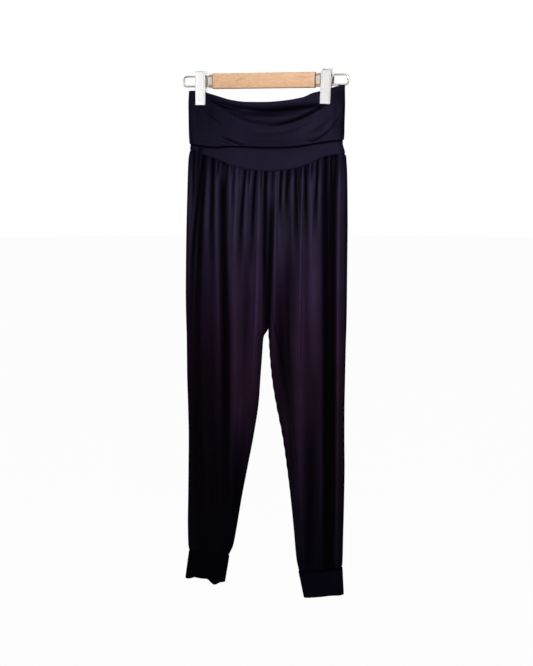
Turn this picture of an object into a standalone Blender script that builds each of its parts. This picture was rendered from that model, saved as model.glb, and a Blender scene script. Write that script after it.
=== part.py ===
"""Jersey lounge trousers with a fold-over waistband, hanging from a clip hanger.

The frame is the hanger's: the origin is the top centre of the wood bar, where the hanger is held.
X runs to the wearer's left, Y to the wearer's back and Z up, so the front faces -Y. Sizes are in
millimetres and turned to metres as each mesh is made. Left and right are the wearer's.

Every cloth panel is a grid whose points are worked out from the garment's own sections: the outline
tables give its sides, the depth tables how far it stands from the middle plane, and the fold tables
its gathers and long creases. Solidify then gives the grid its wall.
"""

from collections import namedtuple
from functools import lru_cache

import bmesh
import bpy
import numpy as np

MM = 0.001

# Cloth
WALL = 1.2
CUFF_WALL = 2.2
SEAM_GAP = 0.3
RIM_TILT = 0.25
HALF_GAP = SEAM_GAP / 2 + RIM_TILT
FRONT = -1.0
BACK = 1.0

# Garment outline: side seams and inner edges from the front, at the skin of a single layer
Outline = namedtuple("Outline", "z right_side right_inner left_inner left_side")
OUTLINE = (
    Outline(-25, -149.0, 7.0, 7.0, 156.5),
    Outline(-60, -150.5, 7.0, 7.0, 157.0),
    Outline(-105, -150.0, 7.0, 7.0, 156.0),
    Outline(-135, -149.0, 7.0, 7.0, 156.0),
    Outline(-150, -151.0, 7.0, 7.0, 160.0),
    Outline(-165, -153.5, 7.0, 7.0, 163.0),
    Outline(-190, -155.0, 7.0, 7.0, 165.0),
    Outline(-230, -156.5, 7.0, 7.0, 166.0),
    Outline(-300, -159.0, 10.0, 10.0, 167.0),
    Outline(-380, -161.0, 15.0, 15.0, 167.0),
    Outline(-450, -162.0, 11.0, 11.0, 167.0),
    Outline(-500, -161.5, 8.5, 9.5, 166.5),
    Outline(-520, -161.0, -1.5, 10.5, 166.0),
    Outline(-553, -161.0, -4.0, 12.5, 165.5),
    Outline(-600, -161.0, -7.5, 17.0, 165.0),
    Outline(-650, -160.0, -11.0, 25.0, 164.5),
    Outline(-720, -159.0, -21.5, 39.0, 165.0),
    Outline(-785, -160.0, -34.0, 48.5, 166.0),
    Outline(-855, -161.5, -47.5, 57.0, 165.5),
    Outline(-920, -163.0, -58.5, 63.5, 164.5),
    Outline(-960, -162.5, -66.5, 67.0, 164.0),
    Outline(-980, -160.0, -75.0, 69.5, 163.5),
    Outline(-1002, -160.0, -79.0, 73.5, 162.0),
)

# Half depth of the garment, how far its rounded edges reach in from the side seams and the inner
# edges, and how deep the centre seam is drawn in (1 is down to the middle plane, at the crotch)
Bulk = namedtuple("Bulk", "z half_depth side_round inner_round draw_in")
BULK = (
    Bulk(-25, 12.0, 12.0, 16.0, 0.0),
    Bulk(-150, 12.0, 14.0, 16.0, 0.0),
    Bulk(-190, 15.0, 20.0, 16.0, 0.03),
    Bulk(-240, 19.5, 26.0, 16.0, 0.18),
    Bulk(-320, 22.0, 30.0, 16.0, 0.34),
    Bulk(-400, 21.5, 30.0, 17.0, 0.46),
    Bulk(-460, 20.0, 29.0, 19.0, 0.66),
    Bulk(-485, 19.3, 28.0, 21.0, 0.85),
    Bulk(-500, 18.8, 28.0, 23.0, 1.0),
    Bulk(-600, 17.0, 27.0, 25.0, 1.0),
    Bulk(-720, 15.0, 25.0, 25.0, 1.0),
    Bulk(-855, 13.5, 23.0, 23.0, 1.0),
    Bulk(-940, 12.5, 20.0, 20.0, 1.0),
    Bulk(-970, 11.0, 16.0, 16.0, 1.0),
    Bulk(-985, 8.0, 12.0, 12.0, 1.0),
    Bulk(-1002, 8.0, 12.0, 12.0, 1.0),
)

# Waistband: its top fold, the lower edge of the part folded over, and the seam to the gathered legs
BandLine = namedtuple("BandLine", "x top lower_edge seam")
BAND = (
    BandLine(-156, -35.0, -136.0, -148.0),
    BandLine(-140, -34.0, -137.0, -149.5),
    BandLine(-120, -37.0, -140.0, -157.5),
    BandLine(-98, -44.0, -142.0, -164.5),
    BandLine(-66, -53.0, -140.0, -177.0),
    BandLine(-30, -57.5, -141.0, -185.5),
    BandLine(6, -58.0, -142.5, -189.0),
    BandLine(42, -55.5, -142.0, -187.0),
    BandLine(78, -49.5, -139.5, -180.0),
    BandLine(100, -40.5, -135.5, -170.5),
    BandLine(124, -34.5, -132.0, -161.0),
    BandLine(145, -29.0, -129.5, -157.5),
    BandLine(168, -26.0, -128.0, -155.0),
)

# How far the band stands from the middle plane at its top, closed in the clips and open between
Mouth = namedtuple("Mouth", "x half_depth")
MOUTH = (
    Mouth(-152, 3.2),
    Mouth(-142, 2.4),
    Mouth(-138, 0.8),
    Mouth(-127, 0.7),
    Mouth(-116, 0.8),
    Mouth(-98, 3.2),
    Mouth(-60, 8.5),
    Mouth(0, 12.0),
    Mouth(58, 8.5),
    Mouth(95, 3.2),
    Mouth(112, 0.8),
    Mouth(124, 0.7),
    Mouth(136, 0.8),
    Mouth(144, 2.4),
    Mouth(158, 3.2),
)
MOUTH_ROUND = 5.0
HELD_ABOVE = -68.0
FREE_BELOW = -150.0
GRIP_FULL = 13.0
GRIP_ENDS = 30.0

# The folded-over layer stands off the inner one by this much, and less in the clips and at its edge
FOLD_OFF = 3.0
FOLD_OFF_CLIPPED = 1.7
FOLD_OFF_EDGE = 2.2
EDGE_EASES_OVER = 15.0
SWAGS_START_UNDER_TOP = 12.0
SWAGS_END_OVER_EDGE = 10.0
BAND_MIDDLE = -80.0

# Sagging folds across the folded-over layer, each through three points
Swag = namedtuple("Swag", "x_from z_from x_mid z_mid x_to z_to height half_width")
SWAGS_FRONT = (
    Swag(-104, -56, -5, -102, 112, -66, 3.4, 13.0),
    Swag(-112, -98, -10, -124, 96, -112, 1.8, 11.0),
    Swag(96, -126, 128, -108, 156, -78, 2.6, 11.0),
    Swag(-146, -62, -124, -92, -84, -112, 2.0, 11.0),
)
SWAGS_BACK = (
    Swag(-110, -62, 4, -98, 102, -58, 3.0, 13.0),
    Swag(-94, -112, 6, -126, 108, -100, 2.0, 11.0),
    Swag(-152, -80, -126, -106, -92, -124, 2.4, 11.0),
)

# Gathers and long folds of the front, each from its place at the seam to where it has faded out;
# a height below zero is a valley
Fold = namedtuple("Fold", "x_top x_low z_low height half_width")
FRONT_FOLDS = (
    Fold(-143, -149, -290, 2.4, 6.0),
    Fold(-132, -141, -330, 2.8, 6.0),
    Fold(-121, -142, -400, 4.0, 6.5),
    Fold(-107, -113, -330, 3.4, 6.0),
    Fold(-95, -92, -540, 4.2, 8.0),
    Fold(-86, -87, -260, 2.4, 5.0),
    Fold(-77, -90, -930, -8.0, 12.0),
    Fold(-62, -58, -860, 4.6, 17.0),
    Fold(-48, -46, -290, 2.6, 5.5),
    Fold(-40, -43, -250, 2.2, 5.0),
    Fold(-29, -37, -420, 4.0, 6.5),
    Fold(-20, -22, -260, 2.6, 5.0),
    Fold(-13, -41, -640, -3.0, 7.5),
    Fold(-4, -26, -680, 5.0, 7.5),
    Fold(8, 11, -540, -5.0, 8.0),
    Fold(16, 19, -290, 2.8, 5.5),
    Fold(28, 23, -470, 4.4, 7.0),
    Fold(38, 33, -250, 2.2, 5.0),
    Fold(46, 34, -360, 3.4, 6.0),
    Fold(54, 52, -260, 2.4, 5.0),
    Fold(63, 66, -360, 3.4, 6.0),
    Fold(74, 74, -250, 2.2, 5.0),
    Fold(83, 74, -900, 4.6, 7.5),
    Fold(91, 93, -280, 2.4, 5.0),
    Fold(99, 104, -560, 4.2, 8.0),
    Fold(108, 107, -250, 2.2, 5.0),
    Fold(116, 113, -330, 3.0, 5.5),
    Fold(127, 137, -960, -10.0, 13.0),
    Fold(135, 139, -300, 3.0, 5.5),
    Fold(144, 148, -280, 2.6, 5.5),
    Fold(153, 154, -740, 3.6, 7.0),
)
GATHER_RISE = 9.0
FOLDS_SETTLE_OVER = 14.0
SEAM_MEETS_AT = 0.15
SEAM_CLOSED_AT = 0.5
BACK_SHIFT = 6.0
BACK_LENGTHS = (0.82, 1.0, 0.92)

# Where the legs end in the cuffs
CuffSeam = namedtuple("CuffSeam", "side_z inner_z")
CUFF_SEAMS = {"right": CuffSeam(-974.0, -980.0), "left": CuffSeam(-984.0, -1000.0)}
CuffEnd = namedtuple("CuffEnd", "side_x side_z inner_x inner_z")
CUFF_ENDS = {
    "right": CuffEnd(-169.5, -1035.0, -84.5, -1036.5),
    "left": CuffEnd(166.5, -1041.0, 85.0, -1054.5),
}

# How the open end waves on the front of a cuff: where across it, how far up, and how wide
Wave = namedtuple("Wave", "share height half_share")
CUFF_WAVES = {
    "right": (Wave(0.40, 8.0, 0.36), Wave(0.76, -6.5, 0.18)),
    "left": (Wave(0.30, 1.0, 0.30),),
}
BACK_WAVE = -0.3
CUFF_HALF_DEPTH = 8.0
CUFF_ROUND = 13.0

# Rows of the leg panels are named by their height at the centre of the seam and of the cuff
LEG_TOP = -165.0
LEG_BOTTOM = -980.0
FINE_TO = -262.0
SEAM_CURVE_ENDS = -330.0
CUFF_CURVE_STARTS = -880.0

# Mesh density
LEG_COLUMNS = 18
FINE_CUTS = 2
FINE_ROWS = 5
LOW_ROWS = 15
BAND_COLUMNS = 28
BAND_INNER_ROWS = 3
BAND_FOLD_ROWS = 4
BAND_OUTER_ROWS = 6
CUFF_COLUMNS = 40
CUFF_ROWS = 4
EDGE_STEPS = (1.5, 4.0)
FINE_STEPS = 241
LAST_ROW_UP = 22.0
EDGE_PASSES = 3
SAME_POINT = 0.00001

# Hanger
BAR_LENGTH = 206.0
BAR_HEIGHT = 30.0
BAR_DEPTH = 12.0
BAR_ROUNDING = 2.5
BOX_BEVEL_STEPS = 2
WIRE_RADIUS = 1.75
WIRE_TOP = -5.5
WIRE_BOTTOM = -24.5
WIRE_CORNER = 6.0
WIRE_IN_BAR = 14.0
WIRE_CORNER_POINTS = 6
WIRE_SMOOTHNESS = 2
LOOP_REACH = {"right": 60.5, "left": 64.5}
HOLE_CLEARANCE = 0.3
HOLE_SIDES = 12
HOLE_PAST_WIRE = 1.0
CUT_PAST_FACE = 2.0
SLEEVE_LENGTH = {"right": 6.5, "left": 8.0}
SLEEVE_HEIGHT = 27.0
SLEEVE_DEPTH = 8.0
SLEEVE_ROUNDING = 1.0
SLEEVE_RIBS = 3
RIB_PROUD = 0.5
RIB_HALF_WIDTH = 0.5
RIB_FROM_END = 2.0
CLIP_X = {"right": -127.0, "left": 123.8}
CLIP_LEAN = {"right": 0.0, "left": 2.1}
CLIP_TOP = 6.0
CLIP_BOTTOM = -61.0
CLIP_WIDTH = 20.0
JAW_INSIDE = 3.8
JAW_PLATE = 2.2
JAW_RIM = 1.6
JAW_RIM_WIDTH = 2.6
JAW_ROUNDING = 1.2
SADDLE_TOP = -1.5
SADDLE_BOTTOM = -28.0
SADDLE_WIDTH = 16.0
SADDLE_IN_PLATE = 1.0
SPRING_HALF_DEPTH = 5.4
SPRING_BULGE = 3.6
SPRING_THICKNESS = 0.8
SPRING_TOP = -8.2
SPRING_BOTTOM = -21.8
SPRING_COLUMNS = 8
SPRING_ROWS = 2
CLOSE = 0.3

# Finishes: colour, roughness, metallic
Finish = namedtuple("Finish", "name colour roughness metallic")
JERSEY = Finish("navy_jersey", (0.012, 0.010, 0.024), 0.75, 0.0)
BEECH = Finish("pale_wood", (0.78, 0.47, 0.26), 0.5, 0.0)
STEEL = Finish("steel_wire", (0.62, 0.62, 0.62), 0.3, 1.0)
WHITE_PLASTIC = Finish("white_plastic", (0.85, 0.85, 0.84), 0.35, 0.0)
IVORY_PLASTIC = Finish("ivory_plastic", (0.72, 0.66, 0.52), 0.45, 0.0)


# ---------------------------------------------------------------- curves through the tables


def through(rows, column, at):
    """A smooth curve through one column of a table whose first column falls or rises evenly."""
    known = np.array([row[0] for row in rows], dtype=float)
    value = np.array([getattr(row, column) for row in rows], dtype=float)
    if known[0] > known[-1]:
        known = known[::-1]
        value = value[::-1]
    at = np.clip(np.asarray(at, dtype=float), known[0], known[-1])
    step = np.diff(known)
    slope = np.diff(value) / step
    bend = np.zeros_like(value)
    rising = slope[:-1] * slope[1:] > 0
    bend[1:-1][rising] = 2 * slope[:-1][rising] * slope[1:][rising] / (slope[:-1] + slope[1:])[rising]
    i = np.clip(np.searchsorted(known, at, side="right") - 1, 0, len(step) - 1)
    u = (at - known[i]) / step[i]
    ease = u * u * (3 - 2 * u)
    return (
        value[i] * (1 - ease)
        + value[i + 1] * ease
        + step[i] * u * (1 - u) * (bend[i] * (1 - u) - bend[i + 1] * u)
    )


def smooth(at, start, end):
    """0 at start and before, 1 at end and after, with no corner between."""
    u = np.clip((np.asarray(at, dtype=float) - start) / (end - start), 0.0, 1.0)
    return u * u * (3 - 2 * u)


def rounded(distance, reach):
    """The rise of a rounded edge: 0 on the edge, 1 from reach inwards, along a quarter ellipse."""
    u = np.clip(1 - distance / reach, 0.0, 1.0)
    return np.sqrt(1 - u * u)


# ---------------------------------------------------------------- the garment's skin


def clipped(x, z):
    """1 in the clips' grip, 0 away from it."""
    away = np.minimum(abs(x - CLIP_X["right"]), abs(x - CLIP_X["left"]))
    near = 1 - smooth(away, GRIP_FULL, GRIP_ENDS)
    return near * smooth(z, FREE_BELOW, HELD_ABOVE)


def half_depth(x, z):
    """How far the skin stands from the middle plane, side seam to side seam."""
    from_side = np.minimum(x - through(OUTLINE, "right_side", z), through(OUTLINE, "left_side", z) - x)
    from_side = np.maximum(from_side, 0.0)
    free = through(BULK, "half_depth", z) * rounded(from_side, through(BULK, "side_round", z))
    held = through(MOUTH, "half_depth", x) * rounded(from_side, MOUTH_ROUND)
    return free + (held - free) * smooth(z, FREE_BELOW, HELD_ABOVE)


def drawn_in(x, z, centre):
    """The share of the depth left beside the centre seam and the inner edges of the legs."""
    rise = rounded(abs(x - centre), through(BULK, "inner_round", z))
    return 1 - through(BULK, "draw_in", z) * (1 - rise)


def back_folds():
    """The front's folds, turned about and with other lengths, for the back."""
    rows = []
    for i, fold in enumerate(FRONT_FOLDS):
        length = (LEG_TOP - fold.z_low) * BACK_LENGTHS[i % len(BACK_LENGTHS)]
        rows.append(
            fold._replace(
                x_top=BACK_SHIFT - fold.x_top,
                x_low=BACK_SHIFT - fold.x_low,
                z_low=LEG_TOP - length,
            )
        )
    return tuple(rows)


FOLDS = {FRONT: FRONT_FOLDS, BACK: back_folds()}


def folds_at(face, x, z):
    """How far the gathers and folds stand out of the skin at a point of the legs."""
    seam = through(BAND, "seam", x)
    below = seam - z
    out = np.zeros(np.broadcast(x, z).shape)
    for fold in FOLDS[face]:
        run = np.clip(below / (seam - fold.z_low), 0.0, 1.0)
        middle = fold.x_top + (fold.x_low - fold.x_top) * run
        wide = fold.half_width * (1 + run)
        u = np.clip((x - middle) / wide, -1.0, 1.0)
        out += fold.height * (1 - smooth(run, 0.4, 1.0)) * 0.5 * (1 + np.cos(np.pi * u))
    return out * smooth(below, 0.0, GATHER_RISE)


# ---------------------------------------------------------------- rows of the leg panels


def leg_height(side, x, row):
    """The height of a panel's row at x: curved like the seam at the top and the cuff at the bottom."""
    cuff = CUFF_SEAMS[side]
    ends = {"right": ("right_side", "right_inner"), "left": ("left_side", "left_inner")}[side]
    side_x = through(OUTLINE, ends[0], cuff.side_z)
    inner_x = through(OUTLINE, ends[1], cuff.inner_z)
    share = np.clip((x - side_x) / (inner_x - side_x), 0.0, 1.0)
    cuff_z = cuff.side_z + (cuff.inner_z - cuff.side_z) * share
    at_seam = (through(BAND, "seam", x) - HALF_GAP - LEG_TOP) * smooth(row, SEAM_CURVE_ENDS, LEG_TOP)
    at_cuff = (cuff_z + HALF_GAP - LEG_BOTTOM) * smooth(-row, -CUFF_CURVE_STARTS, -LEG_BOTTOM)
    return row + at_seam + at_cuff


def edge_of(side, column, row):
    """The x of a panel's edge at a row, where the row's own height meets the outline."""
    x = through(OUTLINE, column, row)
    for _ in range(EDGE_PASSES):
        x = through(OUTLINE, column, leg_height(side, x, row))
    return float(x)


def stations(length, count, steps):
    """Distances along a row: short steps in from both ends, and even ones between."""
    ends = [0.0, *steps]
    inner = np.linspace(steps[-1], length - steps[-1], count - 2 * len(steps) + 1)
    return np.concatenate((ends[:-1], inner, [length - e for e in reversed(ends[:-1])]))


def resample(points, count, steps, place):
    """The point at a column place (0 to count) along a fine row of points."""
    run = np.concatenate(([0.0], np.cumsum(np.linalg.norm(np.diff(points[:, :2], axis=0), axis=1))))
    wanted = np.interp(place, np.arange(count + 1), stations(run[-1], count, steps))
    return np.array([np.interp(wanted, run, points[:, k]) for k in range(points.shape[1])])


@lru_cache(maxsize=None)
def leg_row(face, side, row):
    """A fine row of skin points of one leg panel, from its side seam to its inner edge."""
    outer = edge_of(side, side + "_side", row)
    inner = edge_of(side, side + "_inner", row)
    centre = inner
    drawn = float(through(BULK, "draw_in", row))
    apart = SEAM_GAP / 2 + WALL / 2 * min(1.0, drawn / SEAM_MEETS_AT)
    inner += apart if side == "left" else -apart
    turn = np.linspace(0.0, np.pi, FINE_STEPS)
    x = outer + (inner - outer) * 0.5 * (1 - np.cos(turn))
    z = leg_height(side, x, row)
    depth = half_depth(x, z) * drawn_in(x, z, centre)
    depth = HALF_GAP + depth * (1 - HALF_GAP / max(depth.max(), 1.0))
    edge = np.minimum(abs(x - outer), abs(x - inner))
    at_side = smooth(abs(x - outer), 0.0, FOLDS_SETTLE_OVER)
    open_seam = 1 - min(1.0, drawn / SEAM_CLOSED_AT)
    settle = np.maximum(smooth(edge, 0.0, FOLDS_SETTLE_OVER), open_seam * at_side)
    depth = depth + folds_at(face, x, z) * settle
    return np.stack((x, face * depth, z), axis=1)


# ---------------------------------------------------------------- rows of the waistband


def swags_at(face, x, z):
    """How far the sagging folds of the folded-over layer stand out."""
    out = np.zeros(np.broadcast(x, z).shape)
    for swag in SWAGS_FRONT if face == FRONT else SWAGS_BACK:
        ends = np.array([swag.x_from, swag.x_mid, swag.x_to], dtype=float)
        line = np.polyfit(ends, [swag.z_from, swag.z_mid, swag.z_to], 2)
        run = np.clip((x - swag.x_from) / (swag.x_to - swag.x_from), 0.0, 1.0)
        u = np.clip((z - np.polyval(line, x)) / swag.half_width, -1.0, 1.0)
        out += swag.height * np.sin(np.pi * run) ** 0.8 * 0.5 * (1 + np.cos(np.pi * u))
    return out


def band_height(x, layer, share):
    """The height of a band row: share of the way from the seam to the top, or from the top down."""
    top = through(BAND, "top", x)
    start = through(BAND, "seam", x) + HALF_GAP
    if layer == "outer":
        start = through(BAND, "lower_edge", x)
        share = 1 - share
    return start + (top - start) * share


def stand_off(face, x, z):
    """How far the folded-over layer lies outside the inner one."""
    off = FOLD_OFF + (FOLD_OFF_CLIPPED - FOLD_OFF) * clipped(x, z)
    low = through(BAND, "lower_edge", x)
    top = through(BAND, "top", x)
    off += (FOLD_OFF_EDGE - FOLD_OFF) * (1 - smooth(z, low, low + EDGE_EASES_OVER)) * (1 - clipped(x, z))
    loose = smooth(z, top, top - SWAGS_START_UNDER_TOP) * smooth(z, low, low + SWAGS_END_OVER_EDGE)
    return off + swags_at(face, x, z) * loose * (1 - clipped(x, z))


@lru_cache(maxsize=None)
def band_row(face, layer, share):
    """A fine row of band points from the right side seam to the left, and out over the fold."""
    sides = []
    for column in ("right_side", "left_side"):
        x = through(OUTLINE, column, BAND_MIDDLE)
        for _ in range(EDGE_PASSES):
            x = through(OUTLINE, column, band_height(x, "outer" if layer == "outer" else "inner", share))
        sides.append(float(x))
    turn = np.linspace(0.0, np.pi, FINE_STEPS)
    x = sides[0] + (sides[1] - sides[0]) * 0.5 * (1 - np.cos(turn))
    if layer == "fold":
        z = band_height(x, "inner", 1.0)
    else:
        z = band_height(x, layer, share)
    depth = half_depth(x, z)
    y = face * (HALF_GAP + depth)
    flow = np.gradient(np.stack((x, y), axis=1), axis=0)
    outward = np.stack((flow[:, 1], -flow[:, 0]), axis=1) * (1 if face == FRONT else -1)
    outward /= np.linalg.norm(outward, axis=1)[:, None]
    off = stand_off(face, x, z)
    if layer == "inner":
        reach = np.zeros_like(x)
        rise = np.zeros_like(x)
    elif layer == "fold":
        reach = off / 2 * (1 - np.cos(np.pi * share))
        rise = off / 2 * np.sin(np.pi * share)
    else:
        reach = off
        rise = np.zeros_like(x)
    return np.stack((x + outward[:, 0] * reach, y + outward[:, 1] * reach, z + rise), axis=1)


# ---------------------------------------------------------------- meshes


def new_object(name, mesh, finish, collection):
    """Links a mesh under its node's name, with its own material."""
    obj = bpy.data.objects.new(name, mesh)
    mesh.materials.append(material(finish, name))
    collection.objects.link(obj)
    return obj


def material(finish, node):
    """A Principled BSDF for one node."""
    made = bpy.data.materials.new(f"{finish.name}_{node}")
    made.use_nodes = True
    shader = made.node_tree.nodes["Principled BSDF"]
    shader.inputs["Base Color"].default_value = (*finish.colour, 1.0)
    shader.inputs["Roughness"].default_value = finish.roughness
    shader.inputs["Metallic"].default_value = finish.metallic
    return made


def smooth_shade(mesh, degrees=40.0):
    """Smooth shading with sharp edges kept."""
    mesh.shade_smooth()
    mesh.set_sharp_from_angle(angle=np.radians(degrees))


def solidify(obj, wall):
    """The cloth's wall, half of it on each side of the grid."""
    shell = obj.modifiers.new("Wall", "SOLIDIFY")
    shell.thickness = wall * MM
    shell.offset = 0.0


def grid(columns, rows):
    """A flat grid whose points hold their column and row numbers as x and y."""
    bm = bmesh.new()
    bmesh.ops.create_grid(bm, x_segments=columns, y_segments=rows, size=1.0)
    for vert in bm.verts:
        vert.co.x = (vert.co.x + 1) / 2 * columns
        vert.co.y = (vert.co.y + 1) / 2 * rows
    return bm


def leg_rows():
    """Row heights of a leg panel from its top, close together in the gathers."""
    fine = np.linspace(LEG_TOP, FINE_TO, FINE_ROWS + 1)
    low = np.linspace(FINE_TO, LEG_BOTTOM, LOW_ROWS + 1)[1:]
    bottom = [LEG_BOTTOM + LAST_ROW_UP]
    return sorted([round(float(z), 3) for z in (*fine, *low, *bottom)], reverse=True)


def leg_panel(name, face, side, collection):
    """One leg panel: gathered at the top, narrowing to the cuff."""
    heights = leg_rows()
    bm = grid(LEG_COLUMNS, len(heights) - 1)
    across = [
        edge
        for edge in bm.edges
        if abs(edge.verts[0].co.y - edge.verts[1].co.y) < 0.1 and edge.verts[0].co.y < FINE_ROWS + 0.1
    ]
    bmesh.ops.subdivide_edges(bm, edges=across, cuts=FINE_CUTS)
    bmesh.ops.triangulate(bm, faces=[face_ for face_ in bm.faces if len(face_.verts) > 4])
    for vert in bm.verts:
        row = leg_row(face, side, heights[round(vert.co.y)])
        vert.co = resample(row, LEG_COLUMNS, EDGE_STEPS, vert.co.x) * MM
    mesh = bpy.data.meshes.new(name)
    bm.to_mesh(mesh)
    bm.free()
    smooth_shade(mesh)
    obj = new_object(name, mesh, JERSEY, collection)
    solidify(obj, WALL)
    return obj


def band_panel(name, face, collection):
    """Half of the fold-over waistband: up inside, over the top fold and down outside."""
    inner = [("inner", i / BAND_INNER_ROWS) for i in range(BAND_INNER_ROWS + 1)]
    fold = [("fold", i / BAND_FOLD_ROWS) for i in range(1, BAND_FOLD_ROWS)]
    outer = [("outer", i / BAND_OUTER_ROWS) for i in range(BAND_OUTER_ROWS + 1)]
    rows = inner + fold + outer
    bm = grid(BAND_COLUMNS, len(rows) - 1)
    for vert in bm.verts:
        layer, share = rows[round(vert.co.y)]
        vert.co = resample(band_row(face, layer, share), BAND_COLUMNS, EDGE_STEPS, vert.co.x) * MM
    mesh = bpy.data.meshes.new(name)
    bm.to_mesh(mesh)
    bm.free()
    smooth_shade(mesh)
    obj = new_object(name, mesh, JERSEY, collection)
    solidify(obj, WALL)
    return obj


def cuff_wave(side, share):
    """How far a cuff's open end stands above its straight line, at a share of the way across."""
    height = 0.0
    for wave in CUFF_WAVES[side]:
        u = np.clip((share - wave.share) / wave.half_share, -1.0, 1.0)
        height += wave.height * 0.5 * (1 + np.cos(np.pi * u))
    return height


def cuff(name, side, collection):
    """A doubled jersey tube from the leg's seam to its open end, leaning outwards as it hangs."""
    seam = CUFF_SEAMS[side]
    end = CUFF_ENDS[side]
    top_side = float(through(OUTLINE, side + "_side", seam.side_z))
    top_inner = float(through(OUTLINE, side + "_inner", seam.inner_z))
    bm = grid(CUFF_COLUMNS, CUFF_ROWS)
    for vert in bm.verts:
        down = vert.co.y / CUFF_ROWS
        turn = 2 * np.pi * vert.co.x / CUFF_COLUMNS
        side_x = top_side + (end.side_x - top_side) * down
        inner_x = top_inner + (end.inner_x - top_inner) * down
        side_z = seam.side_z - HALF_GAP + (end.side_z - seam.side_z) * down
        inner_z = seam.inner_z - HALF_GAP + (end.inner_z - seam.inner_z) * down
        share = 0.5 * (1 - np.cos(turn))
        width = abs(inner_x - side_x)
        from_edge = min(share, 1 - share) * width
        depth = CUFF_HALF_DEPTH * float(rounded(from_edge, CUFF_ROUND))
        facing = FRONT if turn < np.pi else BACK
        wave = cuff_wave(side, share) * (1.0 if facing == FRONT else BACK_WAVE)
        x = side_x + (inner_x - side_x) * share
        z = side_z + (inner_z - side_z) * share + wave * down
        vert.co = (x * MM, facing * depth * MM, z * MM)
    bmesh.ops.remove_doubles(bm, verts=bm.verts, dist=SAME_POINT)
    mesh = bpy.data.meshes.new(name)
    bm.to_mesh(mesh)
    bm.free()
    smooth_shade(mesh)
    obj = new_object(name, mesh, JERSEY, collection)
    solidify(obj, CUFF_WALL)
    return obj


# ---------------------------------------------------------------- the hanger


def box_mesh(name, low, high, rounding=0.0, segments=BOX_BEVEL_STEPS):
    """A box between two corners, in millimetres, with its edges rounded."""
    low = np.array(low, dtype=float)
    high = np.array(high, dtype=float)
    bm = bmesh.new()
    bmesh.ops.create_cube(bm, size=1.0)
    for vert in bm.verts:
        vert.co = ((low + high) / 2 + np.array(vert.co) * (high - low)) * MM
    if rounding:
        bmesh.ops.bevel(
            bm,
            geom=list(bm.edges),
            offset=rounding * MM,
            segments=segments,
            profile=0.5,
            affect="EDGES",
        )
    mesh = bpy.data.meshes.new(name)
    bm.to_mesh(mesh)
    bm.free()
    return mesh


def cut(obj, cutter_mesh, cutters, name):
    """Cuts a shape out of an object."""
    cutter = bpy.data.objects.new(name, cutter_mesh)
    cutter.hide_render = True
    cutter.display_type = "WIRE"
    cutters.objects.link(cutter)
    boolean = obj.modifiers.new(name, "BOOLEAN")
    boolean.object = cutter
    boolean.operation = "DIFFERENCE"
    return cutter


def join(obj, added_mesh, cutters, name):
    """Adds a shape to an object by a union."""
    added = cut(obj, added_mesh, cutters, name)
    obj.modifiers[name].operation = "UNION"
    return added


def hole_mesh(name, x_from, x_to, z):
    """A round bar along X that cuts a wire's hole."""
    bm = bmesh.new()
    corner = (WIRE_RADIUS + HOLE_CLEARANCE) / np.cos(np.pi / HOLE_SIDES)
    bmesh.ops.create_cone(
        bm,
        cap_ends=True,
        segments=HOLE_SIDES,
        radius1=corner * MM,
        radius2=corner * MM,
        depth=abs(x_to - x_from) * MM,
    )
    for vert in bm.verts:
        along, y, across = vert.co.z, vert.co.y, -vert.co.x
        vert.co = (along + (x_from + x_to) / 2 * MM, y, across + z * MM)
    mesh = bpy.data.meshes.new(name)
    bm.to_mesh(mesh)
    bm.free()
    return mesh


def bar(collection, cutters):
    """The wood bar, with the blind holes that hold the wires."""
    half = BAR_LENGTH / 2
    mesh = box_mesh(
        "hanger_bar", (-half, -BAR_DEPTH / 2, -BAR_HEIGHT), (half, BAR_DEPTH / 2, 0), BAR_ROUNDING
    )
    obj = new_object("hanger_bar", mesh, BEECH, collection)
    for side, sign in (("right", -1.0), ("left", 1.0)):
        for run, z in (("top", WIRE_TOP), ("bottom", WIRE_BOTTOM)):
            deep = sign * (half - WIRE_IN_BAR - HOLE_PAST_WIRE)
            name = f"bar_hole_{side}_{run}"
            cut(obj, hole_mesh(name, deep, sign * (half + CUT_PAST_FACE), z), cutters, name)
    smooth_shade(obj.data)
    return obj


def wire_route(sign, reach):
    """The bent wire of one loop: out of the bar, round two corners and back."""
    start = BAR_LENGTH / 2 - WIRE_IN_BAR
    end = BAR_LENGTH / 2 + reach - WIRE_RADIUS
    points = [(start, WIRE_TOP)]
    for centre_z, first in ((WIRE_TOP - WIRE_CORNER, 90.0), (WIRE_BOTTOM + WIRE_CORNER, 0.0)):
        for degrees in np.linspace(first, first - 90.0, WIRE_CORNER_POINTS):
            turn = np.radians(degrees)
            points.append((end - WIRE_CORNER + WIRE_CORNER * np.cos(turn), centre_z + WIRE_CORNER * np.sin(turn)))
    points.append((start, WIRE_BOTTOM))
    return [(sign * x, 0.0, z) for x, z in points]


def wire_loop(name, side, collection):
    """One steel wire loop, a round wire bent from a single length."""
    sign = {"right": -1.0, "left": 1.0}[side]
    curve = bpy.data.curves.new(name, "CURVE")
    curve.dimensions = "3D"
    curve.bevel_depth = WIRE_RADIUS * MM
    curve.bevel_resolution = WIRE_SMOOTHNESS
    curve.use_fill_caps = True
    route = wire_route(sign, LOOP_REACH[side])
    spline = curve.splines.new("POLY")
    spline.points.add(len(route) - 1)
    for point, place in zip(spline.points, route):
        point.co = (*(np.array(place) * MM), 1.0)
    obj = bpy.data.objects.new(name, curve)
    curve.materials.append(material(STEEL, name))
    collection.objects.link(obj)
    return obj


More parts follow.
